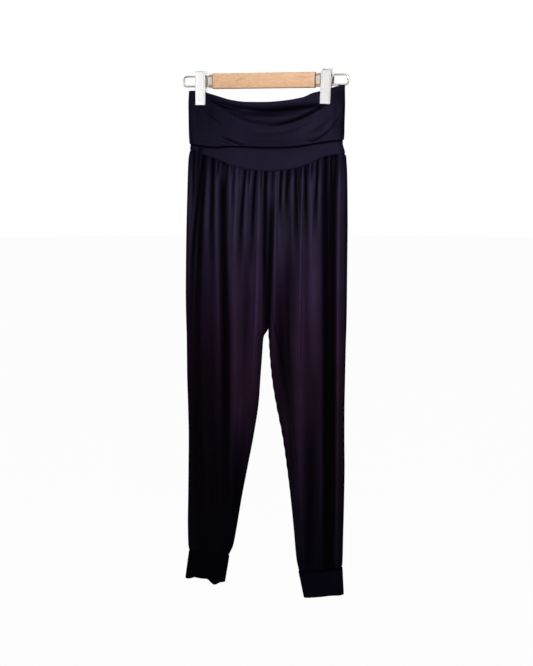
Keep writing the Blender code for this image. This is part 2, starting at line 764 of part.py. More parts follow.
def sleeve(name, side, collection, cutters):
    """The ribbed plastic collar between the bar's end and the clip, round both wires."""
    sign = {"right": -1.0, "left": 1.0}[side]
    near = BAR_LENGTH / 2 + CLOSE
    far = near + SLEEVE_LENGTH[side]
    middle = -BAR_HEIGHT / 2
    xs = sorted((sign * near, sign * far))
    half = SLEEVE_HEIGHT / 2
    deep = SLEEVE_DEPTH / 2
    mesh = box_mesh(name, (xs[0], -deep, middle - half), (xs[1], deep, middle + half), SLEEVE_ROUNDING, 1)
    obj = new_object(name, mesh, IVORY_PLASTIC, collection)
    for i in range(SLEEVE_RIBS):
        at = sign * (near + SLEEVE_LENGTH[side] * (i + 0.5) / SLEEVE_RIBS)
        low = (at - RIB_HALF_WIDTH, -deep - RIB_PROUD, middle - half + RIB_FROM_END)
        high = (at + RIB_HALF_WIDTH, deep + RIB_PROUD, middle + half - RIB_FROM_END)
        rib = f"{name}_rib_{i + 1}"
        join(obj, box_mesh(rib, low, high), cutters, rib)
    for run, z in (("top", WIRE_TOP), ("bottom", WIRE_BOTTOM)):
        hole = f"{name}_hole_{run}"
        ends = (sign * (near - CUT_PAST_FACE), sign * (far + CUT_PAST_FACE))
        cut(obj, hole_mesh(hole, *ends, z), cutters, hole)
    smooth_shade(obj.data)
    return obj


def jaw(name, side, face, collection, cutters):
    """One jaw of a clip: a plate with a raised border outside and a saddle for the wires inside."""
    middle = CLIP_X[side]
    half = CLIP_WIDTH / 2
    outside = JAW_INSIDE + JAW_PLATE + JAW_RIM
    ys = sorted((face * JAW_INSIDE, face * outside))
    ends = ((middle - half, ys[0], CLIP_BOTTOM), (middle + half, ys[1], CLIP_TOP))
    mesh = box_mesh(name, *ends, JAW_ROUNDING)
    obj = new_object(name, mesh, WHITE_PLASTIC, collection)
    inset = sorted((face * (outside - JAW_RIM), face * (outside + CUT_PAST_FACE)))
    low = (middle - half + JAW_RIM_WIDTH, inset[0], CLIP_BOTTOM + JAW_RIM_WIDTH)
    high = (middle + half - JAW_RIM_WIDTH, inset[1], CLIP_TOP - JAW_RIM_WIDTH)
    panel = f"{name}_panel"
    moved = [cut(obj, box_mesh(panel, low, high), cutters, panel)]
    seat = sorted((face * (WIRE_RADIUS + CLOSE), face * (JAW_INSIDE + SADDLE_IN_PLATE)))
    low = (middle - SADDLE_WIDTH / 2, seat[0], SADDLE_BOTTOM)
    high = (middle + SADDLE_WIDTH / 2, seat[1], SADDLE_TOP)
    saddle = f"{name}_saddle"
    moved.append(join(obj, box_mesh(saddle, low, high), cutters, saddle))
    smooth_shade(obj.data)
    lean(obj, side)
    for cutter in moved:
        lean(cutter, side)
    return obj


def lean(obj, side):
    """Turns a piece of a clip about the middle of its wires."""
    angle = np.radians(CLIP_LEAN[side])
    pivot_x = CLIP_X[side]
    pivot_z = -BAR_HEIGHT / 2
    turn = np.array([[np.cos(angle), 0, np.sin(angle)], [0, 1, 0], [-np.sin(angle), 0, np.cos(angle)]])
    pivot = np.array([pivot_x, 0, pivot_z]) * MM
    for vert in obj.data.vertices:
        vert.co = pivot + turn @ (np.array(vert.co) - pivot)


def spring(name, side, collection):
    """The bent steel plate beside a clip that presses its jaws together."""
    near = CLIP_X[side] + CLIP_WIDTH / 2 + CLOSE + SPRING_THICKNESS / 2
    bm = grid(SPRING_COLUMNS, SPRING_ROWS)
    for vert in bm.verts:
        u = vert.co.x / SPRING_COLUMNS * 2 - 1
        x = near + SPRING_BULGE * (1 - u * u)
        z = SPRING_TOP + (SPRING_BOTTOM - SPRING_TOP) * vert.co.y / SPRING_ROWS
        vert.co = (x * MM, u * SPRING_HALF_DEPTH * MM, z * MM)
    mesh = bpy.data.meshes.new(name)
    bm.to_mesh(mesh)
    bm.free()
    smooth_shade(mesh)
    obj = new_object(name, mesh, STEEL, collection)
    solidify(obj, SPRING_THICKNESS)
    lean(obj, side)
    return obj


# ---------------------------------------------------------------- assembly


def clear_scene():
    """Removes what the scene holds."""
    for obj in list(bpy.data.objects):
        bpy.data.objects.remove(obj, do_unlink=True)


def new_collection(name, hidden=False):
    """A collection under the scene's own."""
    collection = bpy.data.collections.new(name)
    collection.hide_render = hidden
    bpy.context.scene.collection.children.link(collection)
    return collection


def main():
    clear_scene()
    parts = new_collection("lounge_trousers_on_clip_hanger")
    cutters = new_collection("cutters", hidden=True)
    for label, face in (("front", FRONT), ("back", BACK)):
        band_panel(f"waistband_{label}", face, parts)
        for side in ("right", "left"):
            leg_panel(f"{label}_leg_{side}", face, side, parts)
    bar(parts, cutters)
    for side in ("right", "left"):
        cuff(f"cuff_{side}", side, parts)
        wire_loop(f"wire_loop_{side}", side, parts)
        sleeve(f"sleeve_{side}", side, parts, cutters)
        for label, face in (("front", FRONT), ("back", BACK)):
            jaw(f"clip_{side}_{label}", side, face, parts, cutters)
        spring(f"clip_{side}_spring", side, parts)


main()
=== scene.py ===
"""Dark jersey lounge trousers on a clip hanger: the looks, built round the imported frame.

The frame is the hanger's: the origin is the top centre of the wood bar, X runs to the wearer's left,
Y to the wearer's back and Z up. Sizes are in millimetres and turned to metres as each mesh is made.
Every cloth piece is a thin shell on the form of its solid, with gathers, creases and seams of its own.
"""

import logging
import math
from dataclasses import dataclass
from enum import Enum
from typing import Any, NamedTuple, Optional, Sequence

import bmesh
import bpy
import numpy as np
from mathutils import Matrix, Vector


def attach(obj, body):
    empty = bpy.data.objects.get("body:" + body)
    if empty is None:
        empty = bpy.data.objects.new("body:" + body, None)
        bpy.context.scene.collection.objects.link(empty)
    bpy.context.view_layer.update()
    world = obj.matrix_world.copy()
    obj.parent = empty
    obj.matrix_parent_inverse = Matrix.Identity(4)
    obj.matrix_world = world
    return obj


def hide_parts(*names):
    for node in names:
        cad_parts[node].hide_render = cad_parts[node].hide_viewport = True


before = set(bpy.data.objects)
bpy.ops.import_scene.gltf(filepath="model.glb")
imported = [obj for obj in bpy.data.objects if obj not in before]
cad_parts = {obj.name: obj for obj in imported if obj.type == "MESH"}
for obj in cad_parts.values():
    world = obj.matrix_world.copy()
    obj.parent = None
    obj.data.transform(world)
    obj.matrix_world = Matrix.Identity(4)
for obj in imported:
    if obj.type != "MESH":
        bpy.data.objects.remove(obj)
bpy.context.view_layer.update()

MM = 0.001
LOG = logging.getLogger("lounge_trousers")
Array = np.ndarray


class Side(Enum):
    """A side of the garment or hanger, the wearer's own."""

    RIGHT = "right"
    LEFT = "left"

    @property
    def sign(self) -> float:
        """The side's direction along X."""
        return 1.0 if self is Side.LEFT else -1.0


class Face(Enum):
    """The front or the back of the garment."""

    FRONT = "front"
    BACK = "back"

    @property
    def sign(self) -> float:
        """The face's outward direction along Y."""
        return -1.0 if self is Face.FRONT else 1.0


class Layer(Enum):
    """A stretch of the fold-over band, from the seam up, over its fold and down again."""

    INNER = "inner"
    FOLD = "fold"
    OUTER = "outer"


# ------------------------------------------------------------------ the garment's sizes


class Outline(NamedTuple):
    """Side seams and inner edges of the legs at one height."""

    z: float
    right_side: float
    right_inner: float
    left_inner: float
    left_side: float


OUTLINE = (
    Outline(-25, -149.0, 7.0, 7.0, 156.5),
    Outline(-60, -150.5, 7.0, 7.0, 157.0),
    Outline(-105, -150.0, 7.0, 7.0, 156.0),
    Outline(-135, -149.0, 7.0, 7.0, 156.0),
    Outline(-150, -151.0, 7.0, 7.0, 160.0),
    Outline(-165, -153.5, 7.0, 7.0, 163.0),
    Outline(-190, -155.0, 7.0, 7.0, 165.0),
    Outline(-230, -156.5, 7.0, 7.0, 166.0),
    Outline(-300, -159.0, 10.0, 10.0, 167.0),
    Outline(-380, -161.0, 15.0, 15.0, 167.0),
    Outline(-450, -162.0, 11.0, 11.0, 167.0),
    Outline(-500, -161.5, 8.5, 9.5, 166.5),
    Outline(-520, -161.0, -1.5, 10.5, 166.0),
    Outline(-553, -161.0, -4.0, 12.5, 165.5),
    Outline(-600, -161.0, -7.5, 17.0, 165.0),
    Outline(-650, -160.0, -11.0, 25.0, 164.5),
    Outline(-720, -159.0, -21.5, 39.0, 165.0),
    Outline(-785, -160.0, -34.0, 48.5, 166.0),
    Outline(-855, -161.5, -47.5, 57.0, 165.5),
    Outline(-920, -163.0, -58.5, 63.5, 164.5),
    Outline(-960, -162.5, -66.5, 67.0, 164.0),
    Outline(-980, -160.0, -75.0, 69.5, 163.5),
    Outline(-1002, -160.0, -79.0, 73.5, 162.0),
)


class Bulk(NamedTuple):
    """Half depth, how far the rounded edges reach in, and how far the centre seam is drawn in."""

    z: float
    half_depth: float
    side_round: float
    inner_round: float
    draw_in: float


BULK = (
    Bulk(-25, 12.0, 12.0, 16.0, 0.0),
    Bulk(-150, 12.0, 14.0, 16.0, 0.0),
    Bulk(-190, 15.0, 20.0, 16.0, 0.03),
    Bulk(-240, 19.5, 26.0, 16.0, 0.18),
    Bulk(-320, 22.0, 30.0, 16.0, 0.34),
    Bulk(-400, 21.5, 30.0, 17.0, 0.46),
    Bulk(-460, 20.0, 29.0, 19.0, 0.66),
    Bulk(-485, 19.3, 28.0, 21.0, 0.85),
    Bulk(-500, 18.8, 28.0, 23.0, 1.0),
    Bulk(-600, 17.0, 27.0, 25.0, 1.0),
    Bulk(-720, 15.0, 25.0, 25.0, 1.0),
    Bulk(-855, 13.5, 23.0, 23.0, 1.0),
    Bulk(-940, 12.5, 20.0, 20.0, 1.0),
    Bulk(-970, 11.0, 16.0, 16.0, 1.0),
    Bulk(-985, 8.0, 12.0, 12.0, 1.0),
    Bulk(-1002, 8.0, 12.0, 12.0, 1.0),
)


class BandLine(NamedTuple):
    """The waistband's top fold, the edge of its folded-over layer and its seam to the legs."""

    x: float
    top: float
    lower_edge: float
    seam: float


BAND = (
    BandLine(-156, -35.0, -136.0, -148.0),
    BandLine(-140, -34.0, -137.0, -149.5),
    BandLine(-120, -37.0, -140.0, -157.5),
    BandLine(-98, -44.0, -142.0, -164.5),
    BandLine(-66, -53.0, -140.0, -177.0),
    BandLine(-30, -57.5, -141.0, -185.5),
    BandLine(6, -58.0, -142.5, -189.0),
    BandLine(42, -55.5, -142.0, -187.0),
    BandLine(78, -49.5, -139.5, -180.0),
    BandLine(100, -40.5, -135.5, -170.5),
    BandLine(124, -34.5, -132.0, -161.0),
    BandLine(145, -29.0, -129.5, -157.5),
    BandLine(168, -26.0, -128.0, -155.0),
)


class Mouth(NamedTuple):
    """How far the band stands from the middle plane at its top."""

    x: float
    half_depth: float


MOUTH = (
    Mouth(-152, 3.2),
    Mouth(-142, 2.4),
    Mouth(-138, 0.8),
    Mouth(-127, 0.7),
    Mouth(-116, 0.8),
    Mouth(-98, 3.2),
    Mouth(-60, 8.5),
    Mouth(0, 12.0),
    Mouth(58, 8.5),
    Mouth(95, 3.2),
    Mouth(112, 0.8),
    Mouth(124, 0.7),
    Mouth(136, 0.8),
    Mouth(144, 2.4),
    Mouth(158, 3.2),
)


class Line(NamedTuple):
    """A soft ridge, or a trough where the height is below zero, along a bent line."""

    x0: float
    z0: float
    x1: float
    z1: float
    x2: float
    z2: float
    height: float
    half_width: float


# The swags of the folded-over layer, as they hang between the two clips; their troughs also get painted shade
FRONT_SWAGS = (
    Line(-106, -46, -4, -62, 112, -43, 1.2, 8.0),
    Line(-112, -50, 0, -71.5, 124, -62, -3.0, 5.8),
    Line(-118, -46, -88, -62, -38, -71, -3.0, 4.8),
    Line(-20, -73, 50, -69, 126, -60, -4.2, 6.6),
    Line(-70, -76, 10, -80, 84, -74, -2.2, 10.0),
    Line(-90, -64, -36, -90, 34, -99, -1.4, 7.0),
    Line(8, -101, 72, -88, 142, -46, -4.2, 6.0),
    Line(-30, -112, 40, -112, 118, -76, 1.4, 8.0),
    Line(84, -130, 126, -115, 160, -66, -2.6, 4.4),
    Line(88, -119, 111, -105, 136, -84, -1.3, 6.0),
    Line(98, -124, 122, -106, 150, -66, 1.4, 7.0),
    Line(-122, -70, -106, -84, -84, -98, -1.3, 3.6),
    Line(-112, -70, -99, -83, -74, -97, 0.6, 4.0),
    Line(-146, -58, -132, -86, -104, -108, 0.7, 8.0),
    Line(-84, -124, -62, -131.5, -38, -141, -2.8, 2.8),
    Line(-76, -119, -54, -129, -28, -136, 1.1, 3.6),
    Line(-90, -130, -74, -134, -60, -139, -0.9, 2.4),
)
BACK_SWAGS = (
    Line(-112, -44, 2, -63, 106, -46, 1.8, 8.0),
    Line(-108, -54, -8, -74, 98, -53, -2.4, 6.5),
    Line(-110, -62, 4, -92, 102, -60, 2.8, 10.0),
    Line(-112, -70, 10, -108, 108, -62, -2.2, 6.5),
    Line(-96, -112, 6, -124, 108, -100, 1.8, 11.0),
    Line(-152, -82, -128, -112, -96, -126, -1.8, 4.0),
    Line(-150, -70, -126, -100, -90, -116, 1.8, 7.0),
    Line(96, -84, 112, -96, 122, -112, -1.0, 3.4),
    Line(40, -128, 62, -134, 86, -137, -1.3, 2.8),
)


class Shade(NamedTuple):
    """A soft patch of painted shade on the band, where it lies away from the light, such as beside a clip."""

    x: float
    z: float
    half_width: float
    half_height: float
    depth: float


# The first few are on the back too, turned about
BACK_SHADES = 3
BAND_SHADES = (
    Shade(-150, -85, 100, 120, 0.46),
    Shade(151, -46, 16, 26, 0.55),
    Shade(152, -106, 20, 28, 0.45),
    Shade(162, -85, 13, 92, 0.97),
    Shade(-126, -148, 10, 12, 0.85),
)


class Fold(NamedTuple):
    """A gather or long fold, from its place at the seam down to where it has faded out.

    The bow is how far it swings aside half-way down.
    """

    x_top: float
    x_low: float
    bow: float
    z_low: float
    height: float
    half_width: float


# Ridges of the front's gathers, the wearer's right side first; their crests also get a painted highlight
FRONT_GATHERS = (
    Fold(-147, -152, 0, -560, 1.6, 5.0),
    Fold(-133, -147, -3, -560, 1.0, 4.0),
    Fold(-110, -113, 0, -430, 1.1, 6.0),
    Fold(-91, -90, 0, -700, 1.9, 5.4),
    Fold(-84, -86, 0, -225, 1.8, 3.0),
    Fold(-65, -60, 0, -330, 2.4, 6.0),
    Fold(-50, -56, 0, -420, 2.8, 6.5),
    Fold(-41, -46, 0, -230, 1.8, 3.5),
    Fold(-30, -34, 0, -400, 2.6, 5.0),
    Fold(-20, -26, 0, -260, 2.2, 3.5),
    Fold(-4, -26, 5, -720, 3.4, 5.5),
    Fold(3, 3, 0, -235, 2.6, 2.4),
    Fold(14, 14, 0, -275, 2.6, 3.2),
    Fold(29, 18, 3, -620, 2.8, 3.6),
    Fold(34, 38, 0, -390, 2.2, 4.0),
    Fold(45, 43, 0, -290, 2.4, 4.0),
    Fold(61, 62, 0, -420, 2.6, 4.5),
    Fold(73, 75, 0, -250, 1.8, 2.6),
    Fold(82, 75, -1, -1000, 3.2, 3.0),
    Fold(97, 104, 0, -520, 2.6, 7.0),
    Fold(104, 106, 0, -230, 2.0, 3.0),
    Fold(116, 115, 0, -330, 2.4, 5.0),
    Fold(132, 133, 0, -262, 2.0, 3.2),
    Fold(154, 154, 0, -1500, 3.0, 4.6),
)

# The valleys between them: long and deep ones, and short ones that end below the seam; each also gets painted
# shade
FRONT_VALLEYS = (
    Fold(-157, -158, 0, -240, -1.6, 3.0),
    Fold(-139, -141, 0, -320, -4.4, 4.2),
    Fold(-119, -156, -7, -640, -7.0, 5.4),
    Fold(-130, -133, 0, -285, -3.6, 4.6),
    Fold(-116, -146, -2, -740, -8.5, 7.4),
    Fold(-100, -103, 0, -450, -7.0, 5.6),
    Fold(-88, -92, 0, -216, -4.0, 2.6),
    Fold(-79, -88, 5, -1300, -11.5, 10.0),
    Fold(-70, -76, 0, -240, -5.5, 3.0),
    Fold(-62, -62, 0, -206, -2.4, 2.2),
    Fold(-55, -61, 0, -310, -3.0, 3.4),
    Fold(-45, -47, 0, -214, -1.8, 2.4),
    Fold(-33, -46, -2, -430, -6.6, 4.4),
    Fold(-25, -27, 0, -226, -3.2, 2.4),
    Fold(-13, -24, 0, -410, -7.4, 4.4),
    Fold(-1, -1, 0, -244, -3.2, 2.4),
    Fold(7, 5, 0, -700, -6.5, 5.0),
    Fold(13, 12, 0, -206, -2.6, 2.2),
    Fold(22, 21, 0, -262, -3.4, 2.6),
    Fold(38, 37, 0, -320, -6.0, 3.4),
    Fold(41, 40, 0, -214, -4.0, 2.4),
    Fold(51, 50, 0, -300, -4.8, 4.4),
    Fold(56, 53, 0, -226, -5.0, 2.6),
    Fold(61, 61, 0, -208, -3.0, 2.2),
    Fold(67, 73, 0, -380, -7.2, 3.8),
    Fold(73, 79, 0, -300, -4.4, 2.6),
    Fold(78, 77, 0, -208, -5.0, 2.2),
    Fold(86, 92, 0, -360, -5.6, 3.8),
    Fold(92, 92, 0, -214, -4.0, 2.2),
    Fold(100, 98, 0, -220, -4.0, 2.4),
    Fold(110, 107, 0, -330, -7.2, 3.6),
    Fold(126, 142, 0, -1900, -11.5, 9.6),
    Fold(124.5, 127, 0, -300, -5.0, 3.4),
    Fold(136.5, 134.5, 0, -560, -3.6, 3.6),
    Fold(144, 143, 0, -235, -4.0, 2.4),
    Fold(141, 138, 2, -1900, -10.5, 9.4),
    Fold(145, 147, 0, -232, -6.0, 3.0),
    Fold(153, 153, 0, -206, -2.4, 2.2),
    Fold(165, 167, 0, -1000, -2.4, 4.0),
)

# The back's folds are the front's, turned about this far off the middle, and their lengths vary in turn
BACK_SHIFT = 6.0
BACK_LENGTHS = (0.82, 1.0, 0.92)

# The long creases of the front that light shows, below the gathers; their troughs also get painted shade and
# their narrow crests a painted highlight
FRONT_CREASES = (
    Line(-54, -300, -56, -560, -64, -1000, 4.0, 30.0),
    Line(-139, -270, -136, -620, -128, -1150, -4.6, 46.0),
    Line(-103, -300, -101, -600, -98, -1150, -3.6, 34.0),
    Line(-48, -680, -56, -860, -70, -1080, -4.6, 32.0),
    Line(-71, -330, -69, -480, -73, -760, -4.0, 13.0),
    Line(-58, -250, -56, -480, -60, -840, 0.8, 13.0),
    Line(-30, -300, -33, -480, -46, -660, -2.6, 12.0),
    Line(20, -240, 15, -400, 4, -580, -6.0, 11.0),
    Line(20.5, -236, 16.5, -370, 5, -600, -9.0, 7.4),
    Line(70, -300, 74, -560, 82, -1000, 2.4, 22.0),
    Line(60, -240, 60, -350, 62, -520, -2.6, 17.0),
    Line(40, -370, 39, -530, 50, -700, -4.6, 24.0),
    Line(53, -320, 52, -470, 58, -660, -3.6, 10.0),
    Line(78, -400, 77, -560, 80, -1000, 1.6, 13.0),
    Line(104, -250, 104, -400, 106, -600, 1.2, 14.0),
    Line(100, -460, 101, -700, 103, -1000, -1.6, 22.0),
    Line(98, -680, 98, -850, 92, -1020, -3.4, 14.0),
    Line(56, -640, 57, -725, 62, -800, -2.2, 7.0),
    Line(-104, -240, -104, -420, -110, -640, -1.0, 6.0),
    Line(-68, -240, -64, -480, -66, -860, 1.0, 5.0),
    Line(-40, -480, -44, -640, -56, -860, 0.8, 7.0),
    Line(18, -240, 21, -340, 17, -430, 0.8, 4.0),
    Line(61, -205, 64, -300, 67, -390, 0.8, 4.0),
    Line(90, -300, 90, -420, 94, -600, -1.0, 5.0),
    Line(106, -240, 105, -300, 104, -380, -0.6, 4.0),
    Line(146, -300, 150, -560, 152, -850, -0.6, 3.0),
    Line(-157, -380, -157, -540, -158, -760, -1.6, 8.0),
    Line(-95, -420, -95, -600, -98, -760, 1.0, 8.0),
    Line(-128, -560, -122, -740, -118, -930, 0.9, 8.0),
    Line(-104, -760, -108, -860, -112, -960, -0.9, 6.0),
    Line(119, -690, 122, -820, 117, -940, 0.9, 8.0),
    Line(66, -830, 66, -900, 72, -990, 1.6, 8.0),
    Line(21, -490, 38, -615, 53, -745, 0.8, 6.0),
)

# The back's creases vary in height in turn and swing aside, and each face has a slow waver of its own
BACK_HEIGHTS = (1.15, 0.8, 1.0, 0.65, 1.25)
BACK_CREASE_SWINGS = 3.0
BACK_CREASE_TURN = 2.4
LEG_WAVER = 0.35
WAVER_PHASES = {Face.FRONT: 0.6, Face.BACK: 2.9}

# The inseam of the left leg lies in front of its inner edge as the leg hangs; its groove also gets painted
# shade
INSEAM = (
    Line(17, -440, 29, -512, 46, -590, -2.4, 2.4),
    Line(36, -545, 50, -625, 64, -695, -2.4, 2.4),
    Line(58, -660, 67, -725, 75, -810, -2.0, 2.2),
    Line(71, -770, 77, -880, 82, -990, -1.4, 2.0),
)


class CuffShape(NamedTuple):
    """A cuff's seam to the leg and its open end, each from the side to the inner edge."""

    seam_side_z: float
    seam_inner_z: float
    end_side_x: float
    end_side_z: float
    end_inner_x: float
    end_inner_z: float


CUFFS = {
    Side.RIGHT: CuffShape(-974.0, -980.0, -169.5, -1035.0, -84.5, -1036.5),
    Side.LEFT: CuffShape(-984.0, -1000.0, 166.5, -1041.0, 85.0, -1054.5),
}

# Where the legs' rows begin and end, and how far down and up the curves of their seams reach
LEG_TOP = -165.0
LEG_BOTTOM = -980.0
SEAM_CURVE_ENDS = -330.0
CUFF_CURVE_STARTS = -880.0

# The folds level out between these heights, and the cuff's small folds grow between these depths
LEVEL_ABOVE_CUFF = -880.0
LEVEL_AT_CUFF = -965.0
CUFF_FOLDS_GROW = (905.0, 978.0)

# The clips: their middles, their lean in degrees and how far their grip reaches full and in part.
# They hold the band flat above one height, and below the other it hangs free
CLIP_X = {Side.RIGHT: -127.0, Side.LEFT: 123.8}
CLIP_LEAN = {Side.RIGHT: 0.0, Side.LEFT: 2.1}
CLIP_GRIP = (13.0, 30.0)
HELD_ABOVE = -68.0
FREE_BELOW = -150.0
MOUTH_ROUND = 5.0
WIRES_MIDDLE = -15.0
WIRES_APART = 19.0

# How far the folded-over layer stands off: hanging free, in the clips' grip and at its turned edge
FOLD_OFF = 3.0
FOLD_OFF_CLIPPED = 1.7
FOLD_OFF_EDGE = 2.2
LEAST_FOLD_OFF = 1.3

# How a gather's ridge and the valley beside it widen, fade and stray on their way down
RIDGE_WIDENS = 0.4
RIDGE_FADES_FROM = 0.4
VALLEY_WIDENS = 0.5
VALLEY_FADES_FROM = 0.3
VALLEY_STRAYS = 0.8
VALLEY_STRAY_LENGTH = 31.0
VALLEY_STRAY_TURN = 1.7
VALLEY_PINCH = 1.3
VALLEY_SHOULDER = 0.3
FOLDS_START = (-1.0, 4.0)

# How much painted shade a place gets inside a fold or trough, and how much painted highlight
# near a crest, by the folds' heights; flat cloth shows less painted light than a crest
VALLEY_IS_DARK_AT = 5.0
VALLEY_DARK_SHARE = 0.66
RIDGE_IS_BRIGHT_AT = 3.0
TROUGH_IS_DARK_AT = 5.0
SWAG_IS_DARK_AT = 3.0
INSEAM_IS_DARK_AT = 3.0
CREST_IS_BRIGHT_AT = 1.8
NARROW_CREST = 14.0
DARKEST_TROUGH = 0.96
FLAT_CLOTH_PAINTED_LIGHT = 0.45

# A valley wider than this is a deep fold, whose painted shade only grows in below the seam. The seam,
# the turned edge and the yoke below it get painted shade of their own, by the distance or depth from there
DEEP_FOLD = 7.2
DEEP_FOLD_GROWS = 0.88
DEEP_FOLD_IS_GROWN = 56.0
SEAM_SHADE = 0.42
SEAM_SHADOW = (1.0, 3.6)
EDGE_SHADOW = (1.6, 5.6)
YOKE_SHADE = 0.34
YOKE_SHADE_FROM = (152.0, 186.0)


# ------------------------------------------------------------------ small mathematics


# The waves that make up the cloth's slow waver: height, length across and down, and turn
WAVER = ((0.45, 23.0, 61.0, 1.0), (0.35, 11.0, -37.0, 2.1), (0.20, 7.1, 19.0, 3.7))

# How bluntly a line's height fades towards its ends
LINE_FADE = 0.7


def through(rows: Sequence[Any], column: str, at: Any) -> Array:
    """A smooth curve through one column of a table whose first column falls or rises evenly.

    Args:
        rows: the table.
        column: the column's name.
        at: where to read it, in the units of the first column.

    Returns:
        The column's value at each place.
    """
    known = np.array([row[0] for row in rows], dtype=float)
    value = np.array([getattr(row, column) for row in rows], dtype=float)
    if known[0] > known[-1]:
        known = known[::-1]
        value = value[::-1]
    at = np.clip(np.asarray(at, dtype=float), known[0], known[-1])
    step = np.diff(known)
    slope = np.diff(value) / step
    bend = np.zeros_like(value)
    rising = slope[:-1] * slope[1:] > 0
    bend[1:-1][rising] = 2 * slope[:-1][rising] * slope[1:][rising] / (slope[:-1] + slope[1:])[rising]
    i = np.clip(np.searchsorted(known, at, side="right") - 1, 0, len(step) - 1)
    u = (at - known[i]) / step[i]
    ease = u * u * (3 - 2 * u)
    bow = step[i] * u * (1 - u) * (bend[i] * (1 - u) - bend[i + 1] * u)
    return value[i] * (1 - ease) + value[i + 1] * ease + bow


def smooth(at: Any, start: float, end: Any) -> Array:
    """0 at start and before, 1 at end and after, with no corner between."""
    u = np.clip((np.asarray(at, dtype=float) - start) / (end - start), 0.0, 1.0)
    return u * u * (3 - 2 * u)


def rounded(distance: Any, reach: Any) -> Array:
    """The rise of a rounded edge: 0 on the edge, 1 from reach inwards, along a quarter ellipse."""
    u = np.clip(1 - distance / reach, 0.0, 1.0)
    return np.sqrt(1 - u * u)


def bump(u: Any) -> Array:
    """A soft ridge that is 1 at 0 and 0 from -1 and 1 outwards."""
    return 0.5 * (1 + np.cos(np.pi * np.clip(u, -1.0, 1.0)))


def eased(count: int) -> Array:
    """Shares from 0 to 1, crowded towards both ends."""
    return 0.5 * (1 - np.cos(np.linspace(0.0, np.pi, count)))


def deepen(painted_shade: Array, shade: Array) -> Array:
    """The painted shade of a place once another fold's painted shade is laid over it."""
    return 1 - (1 - painted_shade) * (1 - shade)


def wander(x: Any, z: Any, phase: float) -> Array:
    """A slow, uneven waver between about -1 and 1 over the cloth, the same each run."""
    return sum(tall * np.sin(x / across + z / down + turn * phase) for tall, across, down, turn in WAVER)


def along_line(row: Line, x: Any, z: Any, upright: bool) -> Array:
    """A ridge or trough along a bent line through three points.

    Args:
        row: the line.
        x: places across the cloth.
        z: places up the cloth.
        upright: whether the line runs up the cloth, or across it.

    Returns:
        How far the cloth stands out.
    """
    if upright:
        knots = [(row.z0, row.x0), (row.z1, row.x1), (row.z2, row.x2)]
        place, off = z, x
    else:
        knots = [(row.x0, row.z0), (row.x1, row.z1), (row.x2, row.z2)]
        place, off = x, z
    (a, fa), (b, fb), (c, fc) = knots
    line = (
        fa * (place - b) * (place - c) / ((a - b) * (a - c))
        + fb * (place - a) * (place - c) / ((b - a) * (b - c))
        + fc * (place - a) * (place - b) / ((c - a) * (c - b))
    )
    run = np.clip((place - a) / (c - a), 0.0, 1.0)
    fade = np.sin(np.pi * run) ** LINE_FADE
    return row.height * fade * bump((off - line) / row.half_width)


def fold_course(row: Fold, seam: Array, below: Array) -> tuple[Array, Array]:
    """The way that a fold takes down the leg.

    Args:
        row: the fold.
        seam: the height of the band's seam.
        below: how far below it each place lies.

    Returns:
        The share of the fold's length that lies above each place, and the x of its middle there.
    """
    run = np.clip(below / (seam - row.z_low), 0.0, 1.0)
    return run, row.x_top + (row.x_low - row.x_top) * run + 4 * row.bow * run * (1 - run)


# ------------------------------------------------------------------ the garment's form


